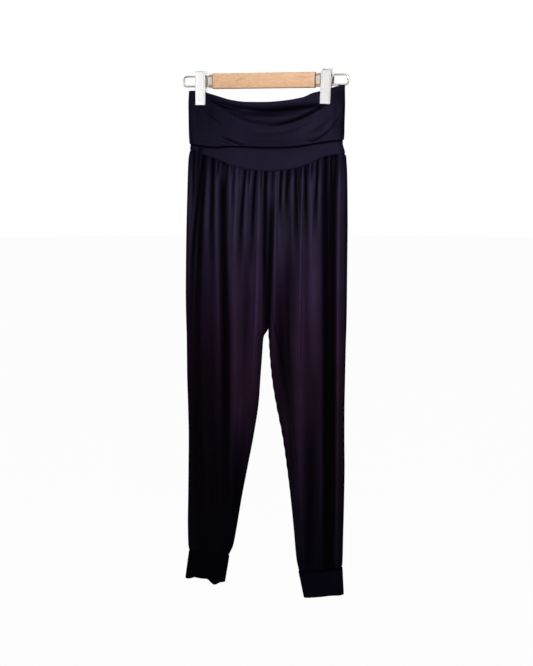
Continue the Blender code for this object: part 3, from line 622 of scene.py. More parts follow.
class Form:
    """The hanging garment's form, which every cloth piece reads."""

    @staticmethod
    def clipped(x: Array, z: Array) -> Array:
        """1 in the clips' grip, 0 away from it."""
        away = np.minimum(abs(x - CLIP_X[Side.RIGHT]), abs(x - CLIP_X[Side.LEFT]))
        return (1 - smooth(away, *CLIP_GRIP)) * smooth(z, FREE_BELOW, HELD_ABOVE)

    @staticmethod
    def half_depth(x: Array, z: Array) -> Array:
        """How far the skin stands from the middle plane.

        Args:
            x: places across the garment.
            z: places up the garment.

        Returns:
            The distance at each place.
        """
        right = x - through(OUTLINE, "right_side", z)
        left = through(OUTLINE, "left_side", z) - x
        from_side = np.maximum(np.minimum(right, left), 0.0)
        free = through(BULK, "half_depth", z) * rounded(from_side, through(BULK, "side_round", z))
        held = through(MOUTH, "half_depth", x) * rounded(from_side, MOUTH_ROUND)
        return free + (held - free) * smooth(z, FREE_BELOW, HELD_ABOVE)

    @staticmethod
    def drawn_in(x: Array, z: Array, centre: Array) -> Array:
        """The share of the depth left beside the centre seam and the inner edges of the legs."""
        rise = rounded(abs(x - centre), through(BULK, "inner_round", z))
        return 1 - through(BULK, "draw_in", z) * (1 - rise)

    @staticmethod
    def turned_fold(i: int, row: Fold) -> Fold:
        """A fold of the front as the back has it: turned about, and longer or shorter.

        Args:
            i: its place in the row of folds.
            row: the front's fold.

        Returns:
            The back's fold.
        """
        length = (LEG_TOP - row.z_low) * BACK_LENGTHS[i % len(BACK_LENGTHS)]
        turned = {"x_top": BACK_SHIFT - row.x_top, "x_low": BACK_SHIFT - row.x_low, "bow": -row.bow}
        return row._replace(z_low=LEG_TOP - length, **turned)

    @classmethod
    def folds(cls, face: Face) -> tuple[Sequence[Fold], Sequence[Fold]]:
        """The gathers and the valleys of a face, of which the back has the front's, turned about.

        Args:
            face: front or back.

        Returns:
            The ridges and the valleys.
        """
        if face is Face.FRONT:
            return FRONT_GATHERS, FRONT_VALLEYS
        ridges, valleys = (
            [cls.turned_fold(i, row) for i, row in enumerate(rows)] for rows in (FRONT_GATHERS, FRONT_VALLEYS)
        )
        return ridges, valleys

    @staticmethod
    def creases(face: Face) -> tuple[Line, ...]:
        """The long creases of a face; the back has the front's, turned about and uneven.

        Args:
            face: front or back.

        Returns:
            The creases' lines.
        """
        if face is Face.FRONT:
            return FRONT_CREASES
        return tuple(
            row._replace(
                x0=BACK_SHIFT - row.x0,
                x1=BACK_SHIFT - row.x1 + BACK_CREASE_SWINGS * math.sin(i * BACK_CREASE_TURN),
                x2=BACK_SHIFT - row.x2,
                height=row.height * BACK_HEIGHTS[i % len(BACK_HEIGHTS)],
            )
            for i, row in enumerate(FRONT_CREASES)
        )

    @classmethod
    def gathers_at(cls, face: Face, x: Array, z: Array) -> tuple[Array, Array, Array]:
        """How far the gathers and long folds stand out of the skin.

        Args:
            face: front or back.
            x: places across the legs.
            z: places up the legs.

        Returns:
            The height of the folds, round on their ridges and pinched between them, the painted shade
            inside the folds, from 0 to 1, and how near to a ridge's crest, for its painted highlight, from 0
            to 1.
        """
        rows, valleys = cls.folds(face)
        seam = through(BAND, "seam", x)
        x, z, seam = np.broadcast_arrays(x, z, seam)
        below = seam - z
        out = np.zeros(x.shape)
        painted_shade = np.zeros(x.shape)
        crest = np.zeros(x.shape)
        for row in rows:
            run, middle = fold_course(row, seam, below)
            wide = row.half_width * (1 + RIDGE_WIDENS * run)
            ridge = (1 - smooth(run, RIDGE_FADES_FROM, 1.0)) * bump((x - middle) / wide)
            out = np.maximum(out, row.height * ridge)
            crest = np.maximum(crest, ridge * min(1.0, row.height / RIDGE_IS_BRIGHT_AT))
        grows = DEEP_FOLD_GROWS * (1 - smooth(below, 0.0, DEEP_FOLD_IS_GROWN))
        for i, row in enumerate(valleys):
            run, middle = fold_course(row, seam, below)
            middle = middle + VALLEY_STRAYS * run * np.sin(z / VALLEY_STRAY_LENGTH + VALLEY_STRAY_TURN * i)
            wide = row.half_width * (1 + VALLEY_WIDENS * run)
            fade = 1 - smooth(run, VALLEY_FADES_FROM, 1.0)
            u = np.clip(abs(x - middle) / wide, 0.0, 1.0)
            pinch = (1 - u) ** VALLEY_PINCH * (1 + VALLEY_SHOULDER * u)
            out = out + row.height * fade * pinch
            # painted shade across the valley, by its depth
            dark = smooth(1 - u, 0.0, VALLEY_DARK_SHARE) * min(1.0, abs(row.height) / VALLEY_IS_DARK_AT)
            grown = 1 - grows if row.half_width > DEEP_FOLD else 1.0
            painted_shade = deepen(painted_shade, fade * grown * dark)
        start = smooth(below, *FOLDS_START)
        return out * start * smooth(z, LEVEL_AT_CUFF, LEVEL_ABOVE_CUFF), painted_shade * start, crest

    @classmethod
    def creases_at(cls, face: Face, x: Array, z: Array) -> tuple[Array, Array, Array]:
        """How far the long creases and the cloth's slow waver stand out of the skin.

        Args:
            face: front or back.
            x: places across the legs.
            z: places up the legs.

        Returns:
            The height, the painted shade inside troughs and how near to a narrow crest, for its painted
            highlight.
        """
        out = LEG_WAVER * wander(x, z, WAVER_PHASES[face])
        painted_shade = np.zeros(out.shape)
        crest = np.zeros(out.shape)
        for row in cls.creases(face):
            rise = along_line(row, x, z, upright=True)
            out = out + rise
            if row.height < 0:
                painted_shade = deepen(painted_shade, np.minimum(-rise / TROUGH_IS_DARK_AT, DARKEST_TROUGH))
            elif row.half_width <= NARROW_CREST:
                crest = np.maximum(crest, np.minimum(rise / CREST_IS_BRIGHT_AT, 1.0))
        return out, painted_shade, crest


# ------------------------------------------------------------------ mesh helpers


SHORTEST = 1e-9  # no normal is taken as shorter, so that none divides by zero


def stations(length: float, count: int, steps: Sequence[float]) -> Array:
    """Distances along a row: short steps in from both ends, and even ones between.

    Args:
        length: the row's length.
        count: how many columns the row gets.
        steps: the distances of the short steps from an end.

    Returns:
        The distances from the row's start.
    """
    ends = [0.0, *steps]
    inner = np.linspace(steps[-1], length - steps[-1], count - 2 * len(steps) + 1)
    return np.concatenate((ends[:-1], inner, [length - e for e in reversed(ends[:-1])]))


def even_rows(fine: Sequence[Array], count: int, steps: Sequence[float]) -> tuple[Array, Array]:
    """Spaces the points of fine rows out along them.

    Args:
        fine: the fine rows of points, with any further numbers that each point carries.
        count: how many columns each row gets.
        steps: the short steps at its ends.

    Returns:
        The spaced points, rows by columns, and their distances along each row.
    """
    grid, across = [], []
    for points in fine:
        run = np.concatenate(([0.0], np.cumsum(np.linalg.norm(np.diff(points[:, :2], axis=0), axis=1))))
        wanted = stations(run[-1], count, steps)
        grid.append(np.stack([np.interp(wanted, run, column) for column in points.T], axis=1))
        across.append(wanted)
    return np.stack(grid), np.stack(across)


def outward(grid: Array, facing: float) -> Array:
    """Unit normals of a grid of points.

    Args:
        grid: rows by columns of points.
        facing: the direction along Y to which the normals of its middle are turned.

    Returns:
        The normals.
    """
    normal = np.cross(np.gradient(grid, axis=1), np.gradient(grid, axis=0))
    normal /= np.maximum(np.linalg.norm(normal, axis=2), SHORTEST)[:, :, None]
    middle = normal[grid.shape[0] // 4, grid.shape[1] // 2, 1]
    return normal if middle * facing > 0 else -normal


def grid_mesh(name: str, grid: Array, cloth: Array, closed: bool = False) -> bpy.types.Mesh:
    """Turns a grid of points into a mesh.

    Args:
        name: the mesh's name.
        grid: rows by columns of points, in millimetres.
        cloth: each point's place in the flat cloth, in millimetres, and any third number its painted shade.
        closed: whether the last column meets the first.

    Returns:
        The mesh, with the flat cloth's metres as its UV map and the painted shade as an attribute.
    """
    rows, columns = grid.shape[:2]
    index = np.arange(rows * columns).reshape(rows, columns)
    painted_shade = cloth[:, :, 2] if cloth.shape[2] > 2 else np.zeros((rows, columns))
    cloth = cloth[:, :, :2]
    if closed:
        index = np.concatenate((index, index[:, :1]), axis=1)
        turn = cloth[:, :1] + np.array([cloth[0, -1, 0] * columns / (columns - 1), 0.0])
        cloth = np.concatenate((cloth, turn), axis=1)
    first, last = slice(None, -1), slice(1, None)
    around = ((first, first), (first, last), (last, last), (last, first))
    quads = np.stack([index[corner] for corner in around], axis=-1).reshape(-1, 4)
    places = np.stack([cloth[corner] for corner in around], axis=2).reshape(-1, 2)
    mesh = bpy.data.meshes.new(name)
    mesh.from_pydata((grid.reshape(-1, 3) * MM).tolist(), [], quads.tolist())
    mesh.uv_layers.new(name="flat_cloth").data.foreach_set("uv", (places * MM).ravel())
    mesh.attributes.new("painted_fold_shade", "FLOAT", "POINT").data.foreach_set("value", painted_shade.ravel())
    mesh.shade_smooth()
    return mesh


def link(name: str, data: Any, finish: bpy.types.Material) -> bpy.types.Object:
    """Makes an object and links it to the scene.

    Args:
        name: the object's name.
        data: its mesh or curve.
        finish: its material.

    Returns:
        The object.
    """
    obj = bpy.data.objects.new(name, data)
    data.materials.append(finish)
    bpy.context.scene.collection.objects.link(obj)
    return obj


def seat(obj: bpy.types.Object, node: str) -> bpy.types.Object:
    """Lets a piece stand for its CAD node, whose own part is hidden.

    Args:
        obj: the piece.
        node: the CAD node that it stands for.

    Returns:
        The piece.
    """
    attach(obj, "root")
    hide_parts(node)
    return obj


def thicken(obj: bpy.types.Object, wall: float) -> None:
    """Gives an open sheet its thickness, half of it on each side.

    Args:
        obj: the sheet.
        wall: its thickness, in millimetres.
    """
    shell = obj.modifiers.new("Cloth", "SOLIDIFY")
    shell.thickness = wall * MM
    shell.offset = 0.0


def hang_jersey(node: str, mesh: bpy.types.Mesh, wall: float) -> bpy.types.Object:
    """Links a piece of jersey and lets it stand for its node.

    Args:
        node: the CAD node.
        mesh: the piece's middle sheet.
        wall: the cloth's thickness, in millimetres.

    Returns:
        The piece.
    """
    obj = link(mesh.name, mesh, JERSEY_FINISH)
    thicken(obj, wall)
    return seat(obj, node)


# ------------------------------------------------------------------ materials


def linear(code: str) -> tuple[float, float, float, float]:
    """A colour in linear light.

    Args:
        code: the colour as sRGB hex.

    Returns:
        Red, green, blue and full cover.
    """
    values = [int(code[i : i + 2], 16) / 255 for i in (1, 3, 5)]
    r, g, b = (v / 12.92 if v <= 0.04045 else ((v + 0.055) / 1.055) ** 2.4 for v in values)
    return (r, g, b, 1.0)


def feed(node: bpy.types.Node, inputs: dict[Any, Any]) -> None:
    """Sets and links a node's inputs.

    Args:
        node: the node.
        inputs: for each input, a value to set, an output socket to link, or a node whose first
            output in use is linked.
    """
    for key, value in inputs.items():
        if isinstance(value, bpy.types.Node):
            value = next(socket for socket in value.outputs if socket.enabled)
        if isinstance(value, bpy.types.NodeSocket):
            node.id_data.links.new(value, node.inputs[key])
        else:
            node.inputs[key].default_value = value


def add_node(
    tree: bpy.types.NodeTree, kind: str, inputs: Optional[dict[Any, Any]] = None, **settings: Any
) -> bpy.types.Node:
    """Adds a shader node to a tree.

    Args:
        tree: the node tree.
        kind: the node's type name, without the word that all of them start with.
        inputs: what its inputs get, as feed takes it.
        settings: attributes to set on it.

    Returns:
        The node.
    """
    node = tree.nodes.new("ShaderNode" + kind)
    for key, value in settings.items():
        setattr(node, key, value)
    feed(node, inputs or {})
    return node


def new_material(name: str) -> tuple[bpy.types.Material, bpy.types.NodeTree, bpy.types.Node]:
    """Makes a material.

    Args:
        name: its name.

    Returns:
        The material, its tree and its Principled shader.
    """
    made = bpy.data.materials.new(name)
    made.use_nodes = True
    return made, made.node_tree, made.node_tree.nodes["Principled BSDF"]


def ramp(node: bpy.types.Node, stops: Sequence[tuple[float, str]]) -> bpy.types.Node:
    """Sets a colour ramp's stops.

    Args:
        node: the ramp's node.
        stops: a place and a colour for each stop.

    Returns:
        The node.
    """
    line = node.color_ramp
    line.elements.remove(line.elements[-1])
    line.elements[0].position = stops[0][0]
    line.elements[0].color = linear(stops[0][1])
    for place, code in stops[1:]:
        line.elements.new(place).color = linear(code)
    return node


def noise_scale(size_mm: float) -> float:
    """The scale at which a noise texture's spots are about as large as given."""
    return 1.0 / (size_mm * MM)


def wave_scale(pitch_mm: float) -> float:
    """The scale at which a wave texture of bands repeats each pitch."""
    return 2 * math.pi / (20 * pitch_mm * MM)


@dataclass(frozen=True)
class ViscoseJersey:
    """Single jersey knitted from viscose with a little elastane, piece-dyed near black.

    The smooth, flat filaments give the eye a soft silky sheen on each ridge, and painted shade lets
    the valleys go black. The colour reads navy-violet on the band, warmer towards plum over the
    thighs, and near black at the ankles, the darkening downwards being painted light falloff. Each
    colour stands at its depth below the bar, in metres.
    """

    # by depth: the hue, and painted light that falls off towards the ankles
    tones_and_painted_falloff: tuple[tuple[float, str], ...] = (
        (0.13, "#151222"),
        (0.165, "#1b1729"),
        (0.21, "#2c273c"),
        (0.32, "#342a40"),
        (0.42, "#372844"),
        (0.50, "#37243c"),
        (0.62, "#321f31"),
        (0.74, "#291c2e"),
        (0.86, "#201928"),
        (0.97, "#1b1728"),
    )
    cloud_size: float = 71.4  # the dye lies a little paler or darker in soft clouds of this size
    clouding: float = 0.12
    wale_pitch: float = 1.1  # real wales are about 0.7 mm apart; drawn coarser so that they show
    course_pitch: float = 0.9
    course_share: float = 0.35
    knit_relief: float = 0.16
    knit_depth: float = 0.3
    roughness: float = 0.52
    between_loops: float = 0.1
    on_loops: float = -0.06
    matt_in_folds: float = 0.4
    sheen: float = 0.03
    sheen_roughness: float = 0.4
    sheen_tint: str = "#8f86b4"
    specular: float = 0.09
    specular_tint: str = "#b9addc"
    painted_shade_tint: str = "#3b2e32"  # painted shade inside a fold, where the ridges' bloom is missing and stray light is warm

    def dye_and_painted_light(self, tree: bpy.types.NodeTree, fold: bpy.types.NodeSocket) -> bpy.types.Node:
        """The cloth's colour: toned by height with painted falloff, clouded, and painted shade in folds.

        Args:
            tree: the material's tree.
            fold: the painted shade of each place, from how deep inside a fold it lies.

        Returns:
            The node that gives the colour.
        """
        place = add_node(tree, "TexCoord").outputs["Object"]
        up = add_node(tree, "SeparateXYZ", {0: place}).outputs["Z"]
        below = add_node(tree, "MapRange", {"Value": up, "From Min": 0.0, "From Max": -1.0})
        tone = ramp(add_node(tree, "ValToRGB", {"Fac": below}), self.tones_and_painted_falloff)
        cloud = add_node(
            tree,
            "TexNoise",
            {"Vector": place, "Scale": noise_scale(self.cloud_size), "Detail": 3.0, "Roughness": 0.55},
        )
        span = {"From Min": 0.3, "From Max": 0.7, "To Min": 1 - self.clouding, "To Max": 1 + self.clouding}
        lift = add_node(tree, "MapRange", {"Value": cloud, **span})
        clouded_tone = add_node(tree, "VectorMath", {0: tone, "Scale": lift}, operation="SCALE")
        # painted shade: the colour darkens toward a warm dark tint by the painted shade
        ends = {"A": linear("#ffffff"), "B": linear(self.painted_shade_tint)}
        shade = add_node(tree, "Mix", {"Factor": fold, **ends}, data_type="RGBA")
        return add_node(tree, "VectorMath", {0: clouded_tone, 1: shade}, operation="MULTIPLY")

    def knit(self, tree: bpy.types.NodeTree) -> bpy.types.Node:
        """The height of the knit's loops, from their wales and courses.

        Args:
            tree: the material's tree.

        Returns:
            The node that gives the height.
        """
        flat = add_node(tree, "UVMap", uv_map="flat_cloth")
        wales, courses = (
            add_node(
                tree,
                "TexWave",
                {"Vector": flat, "Scale": wave_scale(pitch), "Distortion": uneven, "Detail": detail},
                wave_type="BANDS",
                bands_direction=along,
            ).outputs["Fac"]
            for along, pitch, uneven, detail in (
                ("X", self.wale_pitch, 0.6, 1.0),
                ("Y", self.course_pitch, 0.4, 2.0),
            )
        )
        return add_node(tree, "Math", {0: courses, 1: self.course_share, 2: wales}, operation="MULTIPLY_ADD")

    def material(self, name: str = "viscose_jersey") -> bpy.types.Material:
        """Makes the knit's material.

        Args:
            name: its name.

        Returns:
            The material.
        """
        made, tree, shader = new_material(name)
        # the painted shade kept on the mesh, which darkens the colour and dulls the gloss
        fold = add_node(tree, "Attribute", attribute_name="painted_fold_shade").outputs["Fac"]
        loops = self.knit(tree)
        gloss = add_node(
            tree,
            "MapRange",
            {
                "Value": loops,
                "From Max": 1 + self.course_share,
                "To Min": self.roughness + self.between_loops,
                "To Max": self.roughness + self.on_loops,
            },
        )
        relief = {"Strength": self.knit_relief, "Distance": self.knit_depth * MM, "Height": loops}
        feed(
            shader,
            {
                "Base Color": self.dye_and_painted_light(tree, fold),
                "Normal": add_node(tree, "Bump", relief),
                "Roughness": add_node(
                    tree, "Math", {0: fold, 1: self.matt_in_folds, 2: gloss}, operation="MULTIPLY_ADD"
                ),
                "Sheen Weight": self.sheen,
                "Sheen Roughness": self.sheen_roughness,
                "Sheen Tint": linear(self.sheen_tint),
                "Specular IOR Level": self.specular,
                "Specular Tint": linear(self.specular_tint),
            },
        )
        return made


class Streak(NamedTuple):
    """A darker streak or painted shade on the bar's wood: its middle, half its length and height, its turn,
    its depth.
    """

    x: float
    z: float
    half_length: float
    half_height: float
    degrees: float
    depth: float


WOOD_STREAKS_AND_PAINTED_SHADE = (
    Streak(80, -9.5, 22, 1.3, -3.4, 0.9),
    Streak(-47, -12.4, 21, 3.4, 23.7, 0.34),
    # a broad painted shade over the bar's left half
    Streak(100, -15, 80, 60, 0, 0.16),
)


@dataclass(frozen=True)
class LacqueredBeech:
    """Planed beech or a like pale wood under a thin satin lacquer.

    The eye sees a warm tan with fine, near-straight grain and darker flecks, two streaks and darker
    ends; the left half is a little darker with painted shade.
    """

    pale: str = "#e6bb95"
    tan: str = "#d5a178"
    streak: str = "#b27c52"
    end_grain: str = "#7d5336"
    end_from: float = 100.6
    end_to: float = 102.6
    grain_pitch: float = 1.3
    grain_stretch: float = 0.2
    grain_turn: float = 0.06
    grain_relief: float = 0.12
    grain_depth: float = 0.2
    flecks: tuple[float, float, float] = (0.34, 0.45, 0.62)
    patch_size: float = 33.3
    roughness: float = 0.42
    lacquer: float = 0.15

    def marked(self, tree: bpy.types.NodeTree, place: bpy.types.NodeSocket, seen: Any) -> bpy.types.Node:
        """Lays the streaks, the painted shade over the left half and the darker ends over the wood.

        Args:
            tree: the material's tree.
            place: where on the bar a place lies.
            seen: what gives the wood's colour.

        Returns:
            The node that gives the marked colour.
        """
        for mark in WOOD_STREAKS_AND_PAINTED_SHADE:
            spot = {
                "Vector": place,
                "Location": (mark.x * MM, 0.0, mark.z * MM),
                "Rotation": (0.0, -math.radians(mark.degrees), 0.0),
                "Scale": (mark.half_length * MM, 1.0, mark.half_height * MM),
            }
            middle = add_node(tree, "Mapping", spot, vector_type="TEXTURE")
            near = add_node(tree, "TexGradient", {"Vector": middle}, gradient_type="SPHERICAL").outputs["Fac"]
            share = add_node(tree, "Math", {0: near, 1: mark.depth}, operation="MULTIPLY")
            laid = {"Factor": share, "A": seen, "B": linear(self.streak)}
            seen = add_node(tree, "Mix", laid, data_type="RGBA")
        along = add_node(tree, "SeparateXYZ", {0: place}).outputs["X"]
        off = add_node(tree, "Math", {0: along}, operation="ABSOLUTE")
        end = add_node(
            tree, "MapRange", {"Value": off, "From Min": self.end_from * MM, "From Max": self.end_to * MM}
        )
        laid = {"Factor": end, "A": seen, "B": linear(self.end_grain)}
        return add_node(tree, "Mix", laid, data_type="RGBA")

    def material(self) -> bpy.types.Material:
        """Makes the bar's material.

        Returns:
            The material.
        """
        made, tree, shader = new_material("lacquered_beech")
        place = add_node(tree, "TexCoord").outputs["Object"]
        run = {"Scale": (self.grain_stretch, 1.0, 1.0), "Rotation": (0.0, self.grain_turn, 0.0)}
        drawn = add_node(tree, "Mapping", {"Vector": place, **run})
        grit = {"Scale": noise_scale(self.grain_pitch), "Detail": 4.0, "Roughness": 0.6, "Distortion": 0.4}
        grain = add_node(tree, "TexNoise", {"Vector": drawn, **grit})
        stops = list(zip(self.flecks, (self.streak, self.tan, self.pale)))
        tone = ramp(add_node(tree, "ValToRGB", {"Fac": grain}), stops)
        spots = {"Scale": noise_scale(self.patch_size), "Detail": 2.0}
        patch = add_node(tree, "TexNoise", {"Vector": place, **spots})
        body = add_node(tree, "Mix", {"Factor": patch, "A": tone, "B": linear(self.pale)}, data_type="RGBA")
        relief = {"Strength": self.grain_relief, "Distance": self.grain_depth * MM, "Height": grain}
        feed(
            shader,
            {
                "Base Color": self.marked(tree, place, body),
                "Normal": add_node(tree, "Bump", relief),
                "Roughness": self.roughness,
                "Coat Weight": self.lacquer,
            },
        )
        return made


@dataclass(frozen=True)
class DrawnSteel:
    """Bright steel wire and strip, drawn and lightly worn.

    The eye sees a grey metal with a soft highlight and fine drawing lines.
    """

    colour: str = "#e8dcd3"
    brightest: float = 0.26
    dullest: float = 0.48
    grit: float = 0.4

    def material(self) -> bpy.types.Material:
        """Makes the wire's material.

        Returns:
            The material.
        """
        made, tree, shader = new_material("drawn_steel")
        place = add_node(tree, "TexCoord").outputs["Object"]
        lines = add_node(tree, "TexNoise", {"Vector": place, "Scale": noise_scale(self.grit), "Detail": 2.0})
        wear = add_node(tree, "MapRange", {"Value": lines, "To Min": self.brightest, "To Max": self.dullest})
        feed(shader, {"Base Color": linear(self.colour), "Metallic": 1.0, "Roughness": wear})
        return made


@dataclass(frozen=True)
class MouldedPlastic:
    """Injection-moulded plastic with a fine satin skin.

    The eye sees an even colour, a broad soft highlight and slight greying where it is handled. Where a colour
    for the wires' grooves is given, painted shade darkens the skin along the two wires that it is
    moulded round.
    """

    name: str
    colour: str
    handled: str
    roughness: float
    painted_groove_shade: Optional[str] = None
    texture: float = 0.8
    texture_relief: float = 0.06
    texture_depth: float = 0.1
    handling_size: float = 16.7
    groove_from: float = 1.4
    groove_to: float = 2.6
    groove_depth: float = 0.8

    def with_painted_groove_shade(self, tree: bpy.types.NodeTree, place: bpy.types.NodeSocket, seen: Any) -> bpy.types.Node:
        """Paints shade onto the skin along the wires.

        Args:
            tree: the material's tree.
            place: where on the piece a place lies.
            seen: what gives the skin's colour.

        Returns:
            The node that gives the darkened colour.
        """
        off = add_node(tree, "SeparateXYZ", {0: place}).outputs["Z"]
        for middle in (WIRES_MIDDLE, WIRES_APART / 2):
            shifted = add_node(tree, "Math", {0: off, 1: middle * MM}, operation="SUBTRACT")
            off = add_node(tree, "Math", {0: shifted}, operation="ABSOLUTE")
        span = {"From Min": self.groove_from * MM, "From Max": self.groove_to * MM}
        share = add_node(tree, "MapRange", {"Value": off, **span, "To Min": self.groove_depth, "To Max": 0.0})
        return add_node(tree, "Mix", {"Factor": share, "A": seen, "B": linear(self.painted_groove_shade)}, data_type="RGBA")

    def material(self) -> bpy.types.Material:
        """Makes the plastic's material.

        Returns:
            The material.
        """
        made, tree, shader = new_material(self.name)
        place = add_node(tree, "TexCoord").outputs["Object"]
        cloud, skin = (
            add_node(tree, "TexNoise", {"Vector": place, "Scale": noise_scale(size), "Detail": detail})
            for size, detail in ((self.handling_size, 3.0), (self.texture, 1.0))
        )
        greyed = add_node(tree, "MapRange", {"Value": cloud, "From Min": 0.45, "From Max": 0.8})
        ends = {"A": linear(self.colour), "B": linear(self.handled)}
        seen = add_node(tree, "Mix", {"Factor": greyed, **ends}, data_type="RGBA")
        if self.painted_groove_shade:
            seen = self.with_painted_groove_shade(tree, place, seen)
        relief = {"Strength": self.texture_relief, "Distance": self.texture_depth * MM, "Height": skin}
        normal = add_node(tree, "Bump", relief)
        feed(shader, {"Base Color": seen, "Normal": normal, "Roughness": self.roughness})
        return made


WHITE_PLASTIC = {
    Side.RIGHT: MouldedPlastic("white_polypropylene", "#fafaf9", "#efeeec", 0.38),
    Side.LEFT: MouldedPlastic("white_polypropylene_greyed", "#dedbda", "#cfcbca", 0.42),
}
# the ivory collar's colour along the wires is painted shade
IVORY_PLASTIC = MouldedPlastic("ivory_polypropylene", "#d6c9bb", "#c6b9ac", 0.5, painted_groove_shade="#7b6f67")


# ------------------------------------------------------------------ cloth pieces


class Tuck(NamedTuple):
    """How deep stitches draw the cloth in, and the distances from them between which that ends."""

    depth: float
    near: float
    far: float

    def at(self, away: Array) -> Array:
        """How far the cloth is drawn in at a distance from the stitches."""
        return self.depth * (1 - smooth(away, self.near, self.far))


SEAM_TUCK = Tuck(1.3, 0.3, 3.2)
CUFF_TUCK = Tuck(1.0, 0.3, 3.0)
SIDE_TUCK = Tuck(0.7, 0.0, 1.8)
BAND_TUCK = Tuck(0.9, 0.3, 3.0)

# The short steps of the columns at a cloth's edges, and the gap between two cloths at their seam
EDGE_STEPS = (0.5, 1.2, 2.2)
CLOTH_GAP = 0.45

# A row's end and its height depend on each other, so they are read in turns
READINGS = 4

# The fine puckers right under the band's seam: their height and pitch, where they grow and end
PUCKER = (0.5, 0.95)
PUCKER_GROWS = (1.0, 4.0)
PUCKER_ENDS = (3.0, 15.0)

# The wrinkles beside the inseam: their height, pitch and slant, and where they grow and end
WRINKLE = (0.45, 2.3, 0.8)
WRINKLES_GROW = (480.0, 520.0)
WRINKLES_END = (760.0, 860.0)
WRINKLES_REACH = (10.0, 26.0)


@dataclass
class LegPanel:
    """One of the four leg panels, gathered at the top and narrowing to the cuff.

    Its flat sizes are in metres and the others in millimetres. Its folds settle within a reach of the
    seams, at the inner edge only where the form is drawn in, and stand in full where it is deep. The
    allowances and the laps are steps out from an edge, each with how far it lies inside.
    """

    face: Face
    side: Side
    flat_width: float = 0.205
    flat_length: float = 0.85
    flat_area: float = 0.145
    columns: int = 184
    fine_columns: int = 361
    row_pitch: float = 4.8
    end_pitch: float = 1.2
    end_rows: int = 10
    wall: float = 0.8
    edge_gap: float = 0.1
    parted_at: float = 0.15
    closed_at: float = 0.5
    settle_reach: float = 12.0
    full_depth: float = 16.0
    least_and_most_stand: tuple[float, float] = (0.3, 1.1)
    cuff_folds: tuple[tuple[float, float], ...] = ((0.9, 1.75), (0.5, 3.1))
    cuff_folds_lean: float = 90.0
    cuff_folds_turn: float = 1.3
    allowance: tuple[tuple[float, float], ...] = ((0.7, 0.7), (2.0, 1.6), (4.5, 2.2))
    cuff_allowance_share: float = 0.7
    lap: tuple[tuple[float, float], ...] = ((0.9, 1.2), (2.0, 1.6), (3.2, 2.1))
    turned: float = 0.25
    crotch: tuple[float, float] = (-470.0, -500.0)

    @property
    def name(self) -> str:
        """The node that the panel stands for."""
        return f"{self.face.value}_leg_{self.side.value}"

    @property
    def has_inseam_in_front(self) -> bool:
        """Whether the leg hangs so that its inseam shows on this panel."""
        return self.side is Side.LEFT and self.face is Face.FRONT

    def outline(self, edge: str, z: Any) -> Array:
        """The x of the leg's side or inner edge at a height."""
        return through(OUTLINE, f"{self.side.value}_{edge}", z)

    def height(self, x: Array, row: Array) -> Array:
        """The height of a row: curved like the band's seam at the top and the cuff's at the bottom.

        Args:
            x: places along the row.
            row: the row's height where no curve reaches.

        Returns:
            The height at each place.
        """
        cuff = CUFFS[self.side]
        side_x = self.outline("side", cuff.seam_side_z)
        inner_x = self.outline("inner", cuff.seam_inner_z)
        share = np.clip((x - side_x) / (inner_x - side_x), 0.0, 1.0)
        cuff_z = cuff.seam_side_z + (cuff.seam_inner_z - cuff.seam_side_z) * share
        at_seam = through(BAND, "seam", x) - CLOTH_GAP - LEG_TOP
        at_cuff = cuff_z + CLOTH_GAP - LEG_BOTTOM
        return (
            row
            + at_seam * smooth(row, SEAM_CURVE_ENDS, LEG_TOP)
            + at_cuff * smooth(-row, -CUFF_CURVE_STARTS, -LEG_BOTTOM)
        )

    def rows(self) -> Array:
        """Spaces the rows, close together at the seam and at the cuff.

        Returns:
            The rows' heights.
        """
        near = np.arange(self.end_rows) * self.end_pitch
        top = LEG_TOP - near
        bottom = LEG_BOTTOM + near[::-1]
        count = round((top[-1] - bottom[0]) / self.row_pitch)
        return np.concatenate((top, np.linspace(top[-1], bottom[0], count + 1)[1:-1], bottom))

    def ends(self, edge: str, rows: Array) -> Array:
        """Where the rows end.

        Args:
            edge: side or inner.
            rows: the rows' heights.

        Returns:
            The x of each row's end.
        """
        x = self.outline(edge, rows)
        for _ in range(READINGS):
            x = self.outline(edge, self.height(x, rows))
        return x

    def skin(self) -> tuple[Array, Array]:
        """Lays the panel's cloth over the garment's form, with its folds.

        Returns:
            The panel's grid of points, and for each its place in the flat cloth and its painted shade.
        """
        rows = self.rows()
        outer = self.ends("side", rows)[:, None]
        inner = self.ends("inner", rows)[:, None]
        drawn = through(BULK, "draw_in", rows)[:, None]
        gap = self.edge_gap + self.wall / 2 * np.minimum(1.0, drawn / self.parted_at)
        inner_edge = inner + self.side.sign * gap
        x = outer + (inner_edge - outer) * eased(self.fine_columns)[None, :]
        z = self.height(x, rows[:, None])
        depth = Form.half_depth(x, z) * Form.drawn_in(x, z, inner)
        depth = CLOTH_GAP + depth * (1 - CLOTH_GAP / np.maximum(depth.max(axis=1), 1.0))[:, None]
        closed = np.clip(drawn / self.closed_at, 0.0, 1.0)
        at_inner = 1 - smooth(abs(x - inner_edge), 0.0, self.settle_reach)
        settle = smooth(abs(x - outer), 0.0, self.settle_reach) * (1 - closed * at_inner)
        gathers, painted_shade, crest = Form.gathers_at(self.face, x, z)
        creases, low, high = Form.creases_at(self.face, x, z)
        stand = gathers * np.clip(depth / self.full_depth, *self.least_and_most_stand) + creases
        y = self.face.sign * (depth + (stand + self.cuff_gathers(x, z)) * settle)
        # painted light: painted shade in folds and troughs, less of it on crests as a painted highlight
        seen = (1 - painted_shade) * (1 - low) * self.light(x, z, np.maximum(crest, high))
        grid, across = even_rows(np.stack((x, y, z, 1 - seen), axis=2), self.columns, EDGE_STEPS)
        return grid[:, :, :3], np.stack((across, grid[:, :, 2], grid[:, :, 3]), axis=2)

